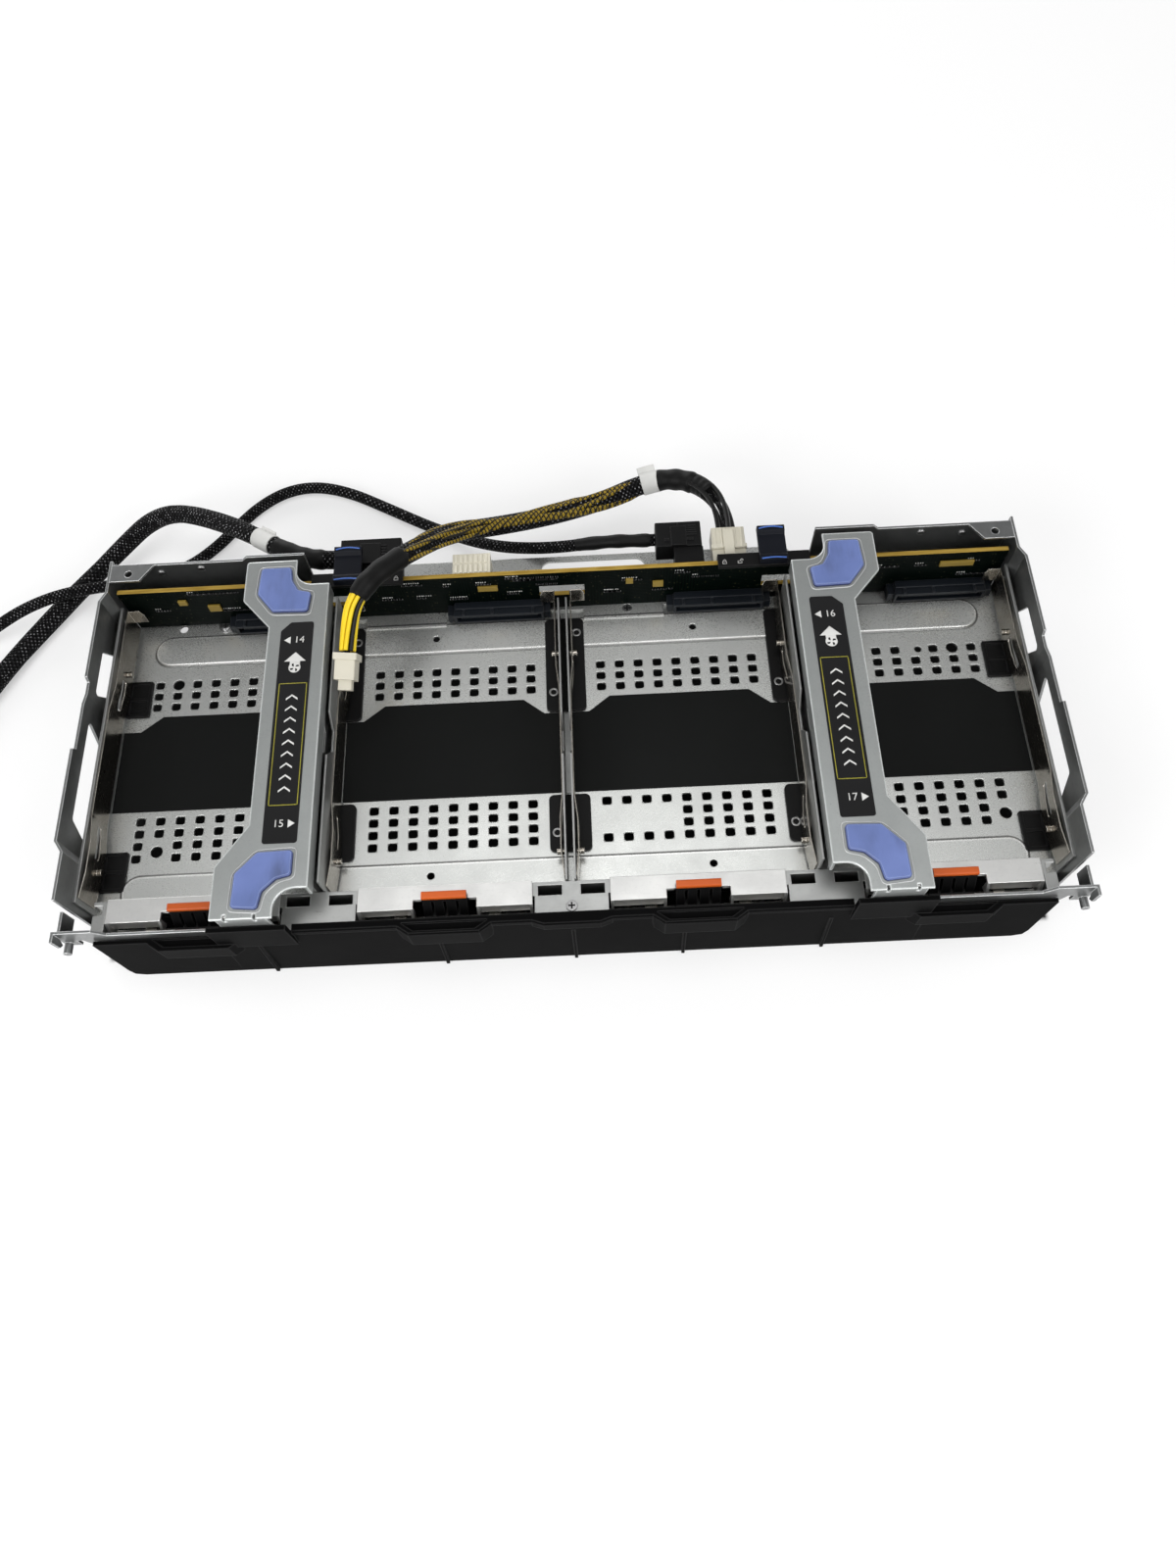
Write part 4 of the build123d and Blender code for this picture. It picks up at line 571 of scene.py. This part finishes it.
# The lead is bare wires at both ends, so its core is thin there
leadShares = [0.24, 0.24, 0.3, 0.85, 1, 1, 1, 1, 1, 1, 1, 1, 1, 1, 0.85, 0.4, 0.24, 0.24]
powerLead = cable("powerLead", leadRoute, cords["lead"]["radius"], looks["leadBraid"], leadShares)
thinCable = cable("thinCable", thinRoute, cords["thin"]["radius"], looks["thinBraid"])
wideCable = cable("wideCable", wideRoute, cords["wide"]["radius"], looks["wideBraid"])
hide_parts("power_lead")
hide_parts("thin_cable")
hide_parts("wide_cable")

# Bare wires fan out of the taped ends: black at the board's power plug, yellow and two black at the free one
wireRings = {
    "powerWires": {"span": (0.0, 44.0), "count": 4, "ring": 3.9, "radius": 1.15, "angle": 0.2},
    "plugWires": {"span": (243.0, 273.4), "count": 8, "ring": 2.9, "radius": 0.98, "angle": 0.1,
                  "blackEvery": 4}}
wireTurn = 0.5


def wireRing(wires):
    start, end = wires["span"]
    angles = [wires["angle"] + k * 2 * math.pi / wires["count"] for k in range(wires["count"])]
    return [strandPoints(leadRoute, start, end, wires["ring"], angle, wireTurn) for angle in angles]


powerWires, plugWires = wireRings["powerWires"], wireRings["plugWires"]
tubes("powerWires", wireRing(powerWires), powerWires["radius"], looks["blackWire"])
plugRing = wireRing(plugWires)
blackRing = plugRing[2::plugWires["blackEvery"]]
yellowRing = [wire for wire in plugRing if wire not in blackRing]
tubes("plugWires", yellowRing, plugWires["radius"], looks["yellowWire"])
tubes("plugWiresBlack", blackRing, plugWires["radius"], looks["blackWire"])


# Yellow conductors seen through the open mesh, each with the mesh's dark threads across it
def meshedWire():
    g = Look("meshedWire")
    parts = g.axes()
    threads = g.calc("ADD", g.calc("MULTIPLY", parts["X"], 2600), g.calc("MULTIPLY", parts["Y"], 1900))
    other = g.calc("SUBTRACT", g.calc("MULTIPLY", parts["X"], 2400), g.calc("MULTIPLY", parts["Y"], 2100))
    net = g.calc("MAXIMUM", g.calc("SINE", threads), g.calc("SINE", other))
    shade = g.mix(g.spread(net, 0.3, 0.75), (0.30, 0.20, 0.012), (0.008, 0.007, 0.003))
    return g.finish(baseColor=shade, roughness=0.5, specularIORLevel=0.3, normal=g.bump(net, 0.0003, 0.8))


# Thickness along a tube: a share of it at both ends, growing to the whole
def taperedEnds(endShare, rate):
    return lambda share: min(1.0, endShare + rate * min(share, 1 - share))


# How late each yellow strand sets in, how early it ends, its angle round the lead, its turn and its sway
strands = {
    "span": (69.0, 222.0), "ring": 4.35, "radius": 1.25,
    "turns": [(2, 2, -0.2, -1.5, 0.5), (10, 0, -1.5, 1.5, 0.4), (4, 10, -0.9, 0.9, -0.6),
              (26, 30, 0.5, -1.9, 0.3), (0, 60, -2.3, 1.6, 0.2)]}
start, end = strands["span"]
meshWires = [strandPoints(leadRoute, start + late, end - early, strands["ring"], angle, twist, sway)
             for late, early, angle, twist, sway in strands["turns"]]
tubes("meshWires", meshWires, strands["radius"], meshedWire(), taper=taperedEnds(0.25, 9))

# The wide cable is a bundle of sleeved runs that wind round each other
bundle = {"runs": 4, "ring": 2.75, "radius": 2.15, "turn": 5.2, "sway": 0.25, "span": (30.0, 268.0)}
start, end = bundle["span"]
wideRuns = []
for k in range(bundle["runs"]):
    angle = k * 2 * math.pi / bundle["runs"]
    wideRuns.append(strandPoints(wideRoute, start, end, bundle["ring"], angle, bundle["turn"],
                                 bundle["sway"]))
tubes("wideRuns", wideRuns, bundle["radius"], looks["bundleBraid"], sides=5,
      taper=taperedEnds(0.6, 8))

# Blank flag labels folded round a cord, standing out on both sides of it as the camera sees them
flags = {
    "leadFlag": {"route": leadRoute, "place": 64.0, "length": 9.0, "above": 8.6, "below": 5.2},
    "wideFlag": {"route": wideRoute, "place": 45.0, "length": 10.0, "above": 6.4, "below": 4.8}}
flagSheet = {"half": 0.175, "swell": 1.6, "sight": (0.0, 0.62, -0.78)}


def flagLabel(name, flag):
    line, along = centreLine(flag["route"])
    picks = [spot for spot, reach in zip(line, along) if abs(reach - flag["place"]) <= flag["length"] / 2]
    above = flag["above"]
    mesh = bmesh.new()
    rings = []
    for index, spot in enumerate(picks):
        ahead = (picks[min(index + 1, len(picks) - 1)] - picks[max(index - 1, 0)]).normalized()
        up = Vector(flagSheet["sight"]).cross(ahead).normalized()
        up = up if up.z > 0 else -up
        out = ahead.cross(up)
        near, far = [], []
        for reach in (above, above * 0.5, 0.0, -flag["below"]):
            swell = flagSheet["swell"] * (1 - reach / above) if reach >= 0 else 0.0
            depth = out * (flagSheet["half"] + swell)
            near.append(mesh.verts.new(at(*(spot + up * reach + depth))))
            far.append(mesh.verts.new(at(*(spot + up * reach - depth))))
        rings.append(near + far[::-1])
    skinRings(mesh, rings)
    piece(name, mesh, looks["blankWrap"])


# Tape or shrink tube round a cord, a little uneven
def wrapRound(name, wrap):
    def girth(share):
        edge = min(1.0, wrap["ends"] + 14 * min(share, 1 - share) * (1 - wrap["ends"]))
        return edge * (1 + wrap["waist"] * math.sin(share * 19))
    points = strandPoints(wrap["route"], *wrap["span"], 0.0)
    tubes(name, [points], wrap["radius"], looks[wrap["look"]], sides=6, taper=girth)


taped = {"look": "blackTape", "slot": "sleeve", "waist": 0.03, "ends": 0.8}
blank = {"look": "blankWrap", "slot": "base_white", "waist": 0.0, "ends": 0.99}
wraps = {
    "rearTape": {**taped, "route": leadRoute, "span": (38.0, 66.0), "radius": 5.2, "waist": 0.04, "ends": 0.86},
    "rearTapeTail": {**taped, "route": leadRoute, "span": (28.0, 39.5), "radius": 4.7},
    "frontTape": {**taped, "route": leadRoute, "span": (214.0, 247.0), "radius": 5.0},
    "leadWrap": {**blank, "route": leadRoute, "span": (58.5, 68.0), "radius": 5.6},
    "wideShrink": {**taped, "route": wideRoute, "span": (8.0, 38.0), "radius": 4.95, "ends": 0.92},
    "wideWrap": {**blank, "route": wideRoute, "span": (39.0, 51.0), "radius": 5.05},
    "thinTape": {**taped, "route": thinRoute, "span": (0.5, 42.0), "radius": 3.25, "waist": 0.05}}
for wrapName, wrapSettings in wraps.items():
    wrapRound(wrapName, wrapSettings)
for flagName, flagSettings in flags.items():
    flagLabel(flagName, flagSettings)

print("stage: deck holes")


# The walls of holes up to a width, gathered by the corner where they meet
def holeWalls(data):
    walls = {}
    for face in data.polygons:
        if abs(face.normal.z) >= 0.01:
            continue
        across = face.normal.cross(Vector((0, 0, 1)))
        spots = [data.vertices[i].co for i in face.vertices]
        reaches = [spot.dot(across) for spot in spots]
        if max(reaches) - min(reaches) < deck["widestHole"]:
            for spot in spots:
                sides = walls.setdefault((round(spot.x, 5), round(spot.y, 5)), {})
                sides[(round(face.normal.x, 2), round(face.normal.y, 2))] = face.center.copy()
    return walls


# Punched holes have round corners, so a small fillet stands in each corner of the square ones
def holeCorners():
    radius = deck["holeCorner"]
    mesh = bmesh.new()
    count = 0
    for (x, y), sides in holeWalls(nodes["deck_pan"].data).items():
        if len(sides) != 2:
            continue
        (first, firstMiddle), (second, secondMiddle) = [(Vector((*n, 0)), m) for n, m in sides.items()]
        corner = Vector((x, y, 0))
        inside = (firstMiddle - corner).dot(second) > 0 and (secondMiddle - corner).dot(first) > 0
        if abs(first.dot(second)) > 0.05 or not inside:
            continue
        outline = [corner]
        for k in range(6):
            angle = k / 5 * math.pi / 2
            inward = first * (1 - math.sin(angle)) + second * (1 - math.cos(angle))
            outline.append(corner + inward * radius)
        skinRings(mesh, [[mesh.verts.new((p.x, p.y, height)) for p in outline]
                         for height in (deckZ - deck["sheet"], deckZ - 0.00001)])
        count += 1
    print("hole corners:", count)
    piece("holeCorners", mesh, looks["deckSteel"])


holeCorners()

print("stage: small parts")
# Marks on the label strips: bay numbers, pointers, an airflow arrow with a fan, chevrons in a yellow frame
labels = {
    "top": 38.8, "ink": 0.04, "middleX": 120.4, "ends": {"rear": (69.9, -1), "front": (-20.6, 1)},
    "numberSize": 4.8, "numberShift": 1.2, "pointerShift": 2.8, "pointer": (3.0, 1.9), "arrowY": 58.0,
    "arrow": ((-2.3, -2.4), (2.3, -2.4), (2.3, 0.6), (4.9, 0.6), (0, 5.4), (-4.9, 0.6), (-2.3, 0.6)),
    "fanDrop": 2.6, "fanRadius": 2.7, "blade": ((0.5, 0.1), (2.1, -0.35), (2.2, 0.45), (1.3, 0.85)),
    "bladeAngle": 0.4, "chevrons": 9, "firstChevron": 7.0, "chevronPitch": 5.6,
    "chevron": ((0, 2.0), (2.6, 0), (2.6, -0.9), (0, 1.1)), "frameX": 6.3, "frameY": (-12.2, 47.4),
    "frameLine": 0.35,
    "numbers": {(-1, "rear"): "14", (-1, "front"): "15", (1, "rear"): "16", (1, "front"): "17"}}
labelInk = (labels["top"], labels["top"] + labels["ink"])


def bayNumber(side, end, text):
    y, outward = labels["ends"][end]
    curve = bpy.data.curves.new("bayNumber" + text, "FONT")
    curve.body = text
    curve.size = labels["numberSize"] / 1000
    curve.extrude = labels["ink"] / 1000
    curve.align_x = "CENTER"
    curve.align_y = "CENTER"
    middle = at(side * labels["middleX"] - outward * labels["numberShift"], y, labelInk[1])
    addPiece("bayNumber" + text, curve, looks["printWhite"], location=middle)


def labelPrint(side):
    middle = side * labels["middleX"]
    mesh = bmesh.new()
    for y, outward in labels["ends"].values():
        base = middle + outward * labels["pointerShift"]
        length, half = labels["pointer"]
        pointer = [(base, y - half), (base + outward * length, y), (base, y + half)]
        addPlate(mesh, pointer[::outward], *labelInk)
    addPlate(mesh, moved(labels["arrow"], middle, labels["arrowY"]), *labelInk)
    hub = circle(middle, labels["arrowY"] - labels["fanDrop"], labels["fanRadius"], 24)
    addPlate(mesh, hub, labelInk[0], labelInk[1] + labels["ink"] / 2)
    for k in range(labels["chevrons"]):
        chevronY = labels["frameY"][0] + labels["firstChevron"] + k * labels["chevronPitch"]
        for hand in (-1, 1):
            points = [(hand * px, py) for px, py in labels["chevron"]][::hand]
            addPlate(mesh, moved(points, middle, chevronY), *labelInk)
    piece("labelPrint" + sideNames[side], mesh, looks["printWhite"])


# The fan's blades are left dark
def fanBlades(side):
    mesh = bmesh.new()
    for k in range(4):
        blade = turned(labels["blade"], k * math.pi / 2 + labels["bladeAngle"])
        addPlate(mesh, moved(blade, side * labels["middleX"], labels["arrowY"] - labels["fanDrop"]),
                 labelInk[1], labelInk[1] + labels["ink"])
    piece("fanBlades" + sideNames[side], mesh, looks["labelBlack"])


def labelFrame(side):
    left, farther = side * labels["middleX"] - labels["frameX"], side * labels["middleX"] + labels["frameX"]
    low, high = labels["frameY"]
    line = labels["frameLine"]
    mesh = bmesh.new()
    for x0, x1, y0, y1 in ((left, left + line, low, high), (farther - line, farther, low, high),
                           (left, farther, low, low + line), (left, farther, high - line, high)):
        addPlate(mesh, [(x0, y0), (x1, y0), (x1, y1), (x0, y1)], *labelInk)
    piece("labelFrame" + sideNames[side], mesh, looks["printYellow"])


for (labelSide, labelEnd), labelText in labels["numbers"].items():
    bayNumber(labelSide, labelEnd, labelText)
for labelSide in sideNames:
    labelPrint(labelSide)
    fanBlades(labelSide)
    labelFrame(labelSide)

# Lips round the pads' recesses, paler than the bar as a painted highlight on the recess edges, from the same
# outlines as the pads
pads = {
    "rear": {"left": 114.7, "size": (25.6, 24.8), "low": 84.6, "shares": (
        (0.42, 1.00), (0.97, 1.00), (1.00, 0.42), (0.70, 0.02), (0.06, 0.00), (0.02, 0.42), (0.26, 0.48),
        (0.38, 0.70))},
    "front": {"left": 114.22, "size": (24.2, 25.4), "low": -58.2, "shares": (
        (0.00, 1.00), (0.62, 0.98), (0.98, 0.62), (1.00, 0.04), (0.54, 0.00), (0.48, 0.30), (0.26, 0.50),
        (0.00, 0.56))},
    "gap": 1.25, "corner": 2.4, "top": 38.65, "lip": 0.26}


# The outline pushed outward and rounded at its corners
def padLip(shape, side):
    width, depth = shape["size"]
    corners = [Vector((shape["left"] + sx * width, shape["low"] + sy * depth)) for sx, sy in shape["shares"]]
    area = sum(a.x * b.y - b.x * a.y for a, b in zip(corners, corners[1:] + corners[:1]))
    outward = 1 if area > 0 else -1
    count = len(corners)
    pushed = []
    for i, corner in enumerate(corners):
        before = (corner - corners[i - 1]).normalized()
        after = (corners[(i + 1) % count] - corner).normalized()
        normal = Vector((before.y + after.y, -before.x - after.x)).normalized() * outward
        stretch = max(0.5, math.sqrt((1 + before.dot(after)) / 2))
        pushed.append(corner + normal * pads["gap"] / stretch)
    line = []
    for i, corner in enumerate(pushed):
        before = (pushed[i - 1] - corner).normalized() * pads["corner"]
        after = (pushed[(i + 1) % count] - corner).normalized() * pads["corner"]
        for step in range(7):
            u = step / 6
            spot = corner + before * (1 - u) ** 2 + after * u * u
            line.append((side * spot.x, spot.y, pads["top"]))
    return line + line[:1]


padLips = [padLip(pads[end], side) for end in ("rear", "front") for side in sideNames]
tubes("padLips", padLips, pads["lip"], looks["barLipHighlight"])

# Black fill as painted shade in the bores of the guide plates' eyelets and the cross recesses of screw heads,
# and a screw in the deck's rear strip
screws = {
    "eyelets": [(6.0, 90.3, 1.25), (-6.0, 57.4, 1.25), (-6.0, -15.2, 1.25)], "bore": 1.35,
    "flush": [(0.0, -55.7, 19.0), (31.6, 103.0, 1.5)], "flushCross": (1.488, 0.36),
    "panHead": (-168.8, 104.4), "panCross": (1.5, 0.28), "panCrossZ": (1.2, 1.53),
    "panProfile": ((3.6, 0.02), (3.6, 0.45), (2.7, 0.5), (2.6, 1.1), (1.9, 1.5)), "above": 0.03}


def crossOutline(x, y, reach, arm):
    points = []
    for k in range(4):
        points += turned([(arm, reach), (arm, arm), (reach, arm)], -k * math.pi / 2)
    return moved(points[::-1], x, y)


recessShadeMesh = bmesh.new()
for place in dividerPlaces:
    for x, y, z in screws["eyelets"]:
        addPlate(recessShadeMesh, circle(place + x, y, screws["bore"], 20), z - 0.4, z + screws["above"])
for x, y, z in screws["flush"]:
    addPlate(recessShadeMesh, crossOutline(x, y, *screws["flushCross"]), z - 0.3, z + screws["above"])
addPlate(recessShadeMesh, crossOutline(*screws["panHead"], *screws["panCross"]), *screws["panCrossZ"])
piece("screwRecessShade", recessShadeMesh, looks["blackPlastic"])
headMesh = bmesh.new()
skinRings(headMesh, [[headMesh.verts.new(at(x, y, z)) for x, y in circle(*screws["panHead"], radius, 24)]
                     for radius, z in screws["panProfile"]])
piece("panHeadScrews", headMesh, looks["zincScrews"])

# Small parts on the board: chip parts in short rows with solder at their feet, and silk marks above them
boardParts = {
    "face": 105.5, "seed": 7, "clusters": 34, "reach": 200, "rows": (12.6, 14.8, 21.6, 23.6, 25.6, 27.2),
    "clearOfDividers": 15, "widths": (0.9, 1.3, 1.7), "gaps": (0.6, 0.9, 1.4), "height": 0.8, "depth": 0.55,
    "solderDepth": 0.35, "foot": 0.2, "silkChance": 0.75, "silkPitch": 1.1}
connector = {"left": 0.4, "width": 44.0, "pins": 29, "firstPin": 3.4, "pinPitch": 1.27,
             "keys": (4.0, 18.0, 38.0)}
dice = random.Random(boardParts["seed"])
partMesh, solderMesh, silkMesh = bmesh.new(), bmesh.new(), bmesh.new()
face = boardParts["face"]
for cluster in range(boardParts["clusters"]):
    x = dice.uniform(-boardParts["reach"], boardParts["reach"])
    z = dice.choice(boardParts["rows"])
    if any(abs(x - place) < boardParts["clearOfDividers"] for place in dividerPlaces) and z < 21:
        continue
    wide = dice.choice(boardParts["widths"])
    gap = wide + dice.choice(boardParts["gaps"])
    top = z + boardParts["height"]
    for k in range(dice.randint(2, 7)):
        left = x + k * gap
        addBlock(partMesh, (left, face - boardParts["depth"], z), (left + wide, face, top))
        for foot in (left - boardParts["foot"], left + wide):
            near = (foot, face - boardParts["solderDepth"], z)
            addBlock(solderMesh, near, (foot + boardParts["foot"], face, top))
    if dice.random() < boardParts["silkChance"]:
        for k in range(dice.randint(3, 8)):
            left = x + k * boardParts["silkPitch"]
            addBlock(silkMesh, (left, face - 0.03, z + 1.6), (left + dice.uniform(0.3, 0.8), face, z + 2.3))

# Solder tails over each drive connector, pins in its mouth, a raised ledge along its top and key ribs
ledgeMesh = bmesh.new()
for middle in bayMiddles:
    left = middle + connector["left"]
    farSide = left + connector["width"]
    for k in range(connector["pins"]):
        x = left + connector["firstPin"] + k * connector["pinPitch"]
        addBlock(solderMesh, (x, 104.2, 8.8), (x + 0.5, face, 9.3))
        addBlock(solderMesh, (x, 99.4, 6.62), (x + 0.7, 103.0, 6.7))
    addBlock(ledgeMesh, (left + 0.4, 101.4, 8.75), (farSide - 0.4, 105.4, 9.9))
    for key in connector["keys"]:
        addBlock(ledgeMesh, (left + key, 98.2, 8.75), (left + key + 1.4, 101.6, 9.4))
piece("boardChipParts", partMesh, looks["labelBlack"])
piece("solderJoints", solderMesh, looks["zincScrews"])
piece("silkMarks", silkMesh, looks["printWhite"])
piece("connectorLedges", ledgeMesh, looks["connectorHousing"], bevel=0.25)

# Lock marks on the black base strips: a closed and an open padlock
lockMarks = {"top": 32.22, "closed": 77.7, "open": 84.9, "y": 105.8, "openShift": 0.9, "line": 0.13}


def padlock(x, shackleShift):
    y = lockMarks["y"]
    body = moved([(-0.9, -1.2), (0.9, -1.2), (0.9, 0), (-0.9, 0), (-0.9, -1.2)], x, y)
    arch = [(x + shackleShift + 0.6 * math.cos(k * math.pi / 10), y + 0.25 + 0.8 * math.sin(k * math.pi / 10))
            for k in range(11)]
    return [[(px, py, lockMarks["top"]) for px, py in part] for part in (body, arch)]


lockLines = []
for side in sideNames:
    lockLines += padlock(side * lockMarks["closed"], 0.0)
    lockLines += padlock(side * lockMarks["open"], lockMarks["openShift"])
tubes("lockMarks", lockLines, lockMarks["line"], looks["printWhite"], sides=1)

# Blue grip edges on each release slider, front and rear
slider = {"x": (94.8, 106.2), "top": 36.05, "edges": ((103.8, 0.5), (121.0, 0.9)), "edge": 0.36}


def gripArc(side, y, bow):
    near, far = slider["x"]
    return [(side * (near + k / 12 * (far - near)), y + bow * math.sin(k / 12 * math.pi), slider["top"])
            for k in range(13)]


for side in sideNames:
    gripArcs = [gripArc(side, y, bow) for y, bow in slider["edges"]]
    tubes("gripEdges" + sideNames[side], gripArcs, slider["edge"], looks["edgeBlue"],
          "release_" + sideNames[side].lower())

# Teeth on the ivory header, and a latch bar, ribs and a collar on the power plug
plugParts = {"header": -51.4, "teeth": 7, "toothPitch": 2.4, "plug": (73.4, 89.4), "ribs": 5, "ribPitch": 3.2}
ribMesh = bmesh.new()
for k in range(plugParts["teeth"]):
    x = plugParts["header"] + 0.9 + k * plugParts["toothPitch"]
    addBlock(ribMesh, (x, 108.6, 29.5), (x + 1.4, 113.0, 30.3))
    addBlock(ribMesh, (x, 114.2, 29.5), (x + 1.4, 118.8, 30.1))
left, farSide = plugParts["plug"]
middle = (left + farSide) / 2
addBlock(ribMesh, (middle - 2.4, 112.5, 26.6), (middle + 2.4, 127.5, 28.4))
addBlock(ribMesh, (left - 0.5, 117.5, 24.8), (farSide + 0.5, 119.6, 27.5))
for k in range(plugParts["ribs"]):
    x = left + 1.0 + k * plugParts["ribPitch"]
    addBlock(ribMesh, (x, 117.8, 26.9), (x + 1.0, 129.2, 27.6))
piece("plugRibs", ribMesh, looks["ivoryPlastic"], bevel=0.2)

# A ridge, stops and finger ribs on the thin cable's plug, and finger ribs on the wide cable's plug
signalMesh = bmesh.new()
addBlock(signalMesh, (57.2, 120.4, 27.1), (57.9, 133.6, 27.5))
addBlock(signalMesh, (50.6, 123.0, 27.1), (53.0, 124.4, 27.7))
addBlock(signalMesh, (61.6, 123.0, 27.1), (64.6, 124.4, 27.7))
for k in range(5):
    addBlock(signalMesh, (60.4, 126.0 + k * 1.3, 27.1), (66.4, 126.6 + k * 1.3, 27.5))
    addBlock(signalMesh, (-94.0, 122.0 + k * 1.6, 27.1), (-84.0, 122.7 + k * 1.6, 27.5))
piece("signalPlugRibs", signalMesh, looks["blackPlastic"], bevel=0.12)

# Torsion spring coils on the latch pins
coils = {"pivotY": -56.0, "pivotZ": 9.0, "radius": 2.35, "wire": 0.3, "turns": 6, "start": 17.8,
         "length": 5.0, "steps": 72}


def coilLine(middle, side):
    line = []
    for k in range(coils["steps"] + 1):
        angle = k * 2 * math.pi * coils["turns"] / coils["steps"]
        line.append((middle + side * (coils["start"] + coils["length"] * k / coils["steps"]),
                     coils["pivotY"] + coils["radius"] * math.cos(angle),
                     coils["pivotZ"] + coils["radius"] * math.sin(angle)))
    return line


coilLines = [coilLine(middle, side) for middle in bayMiddles for side in sideNames]
tubes("springCoils", coilLines, coils["wire"], looks["springSteel"], sides=2)

# Round studs that hold the rear panels and the side plates
studs = {
    "panel": {"spots": ((192.0, 118.0, 29.0), (172.0, 118.0, 31.0)), "axis": (0, -1, 0), "radius": 1.9,
              "height": 0.9},
    "plate": {"spots": ((212.6, -38.0, 9.0), (212.6, 20.0, 14.0), (212.6, 100.0, 15.0)), "axis": (-1, 0, 0),
              "radius": 1.6, "height": 0.5}}
studProfile = ((1.0, 0.0), (0.98, 0.45), (0.75, 0.85), (0.35, 1.0))


def addStud(mesh, origin, axis, radius, height):
    side = axis.orthogonal().normalized()
    other = axis.cross(side)
    skinRings(mesh, [[mesh.verts.new(at(*(origin + axis * height * rise + side * x + other * y)))
                      for x, y in circle(0, 0, radius * share, 16)] for share, rise in studProfile])


studMesh = bmesh.new()
for side in sideNames:
    for stud in studs.values():
        ax, ay, az = stud["axis"]
        for x, y, z in stud["spots"]:
            spot, axis = Vector((side * x, y, z)), Vector((side * ax, ay, az))
            addStud(studMesh, spot, axis, stud["radius"], stud["height"])
piece("panelStuds", studMesh, looks["zincScrews"])

print("stage: floor")
# Pale paper, painted dark as shade in the closed space beneath the deck
paper = {"reach": 30, "drop": 0.0002, "shade": (0.95, 0.95, 0.95), "shadeUnderDeck": (0.004, 0.004, 0.004),
         "lift": 0.45, "halfX": (0.2125, 0.2145), "middleY": -0.009, "halfY": (0.0837, 0.086)}


def paperLook():
    g = Look("paper")
    parts = g.axes()
    across = g.calc("ABSOLUTE", parts["X"])
    along = g.calc("ABSOLUTE", g.calc("SUBTRACT", parts["Y"], paper["middleY"]))
    acrossMask = g.spread(across, *paper["halfX"], 1.0, 0.0)
    # Painted shade: within the deck's footprint the paper is mixed to near black
    underDeckShade = g.calc("MULTIPLY", acrossMask, g.spread(along, *paper["halfY"], 1.0, 0.0))
    g.finish(baseColor=g.mix(underDeckShade, paper["shade"], paper["shadeUnderDeck"]), roughness=0.8, specularIORLevel=0.2)
    path = g.node("ShaderNodeLightPath").outputs
    reflected = g.calc("MAXIMUM", path["Is Glossy Ray"], path["Is Transmission Ray"])
    seen = g.calc("MAXIMUM", path["Is Camera Ray"], reflected)
    lift = g.calc("MULTIPLY", g.calc("MULTIPLY", seen, paper["lift"]), g.calc("SUBTRACT", 1.0, underDeckShade))
    white = g.node("ShaderNodeEmission", {"Color": (1, 1, 1, 1), "Strength": 1.0}).outputs[0]
    both = g.node("ShaderNodeMixShader", {0: lift, 1: g.shader.outputs[0], 2: white}).outputs[0]
    g.tree.links.new(both, g.tree.nodes["Material Output"].inputs["Surface"])
    return g.material


floorMesh = bpy.data.meshes.new("floor")
reach, drop = paper["reach"], -paper["drop"]
floorCorners = [(-reach, -reach, drop), (reach, -reach, drop), (reach, reach, drop), (-reach, reach, drop)]
floorMesh.from_pydata(floorCorners, [], [(0, 1, 2, 3)])
floor = bpy.data.objects.new("floor", floorMesh)
scene.collection.objects.link(floor)
floorMesh.materials.append(paperLook())
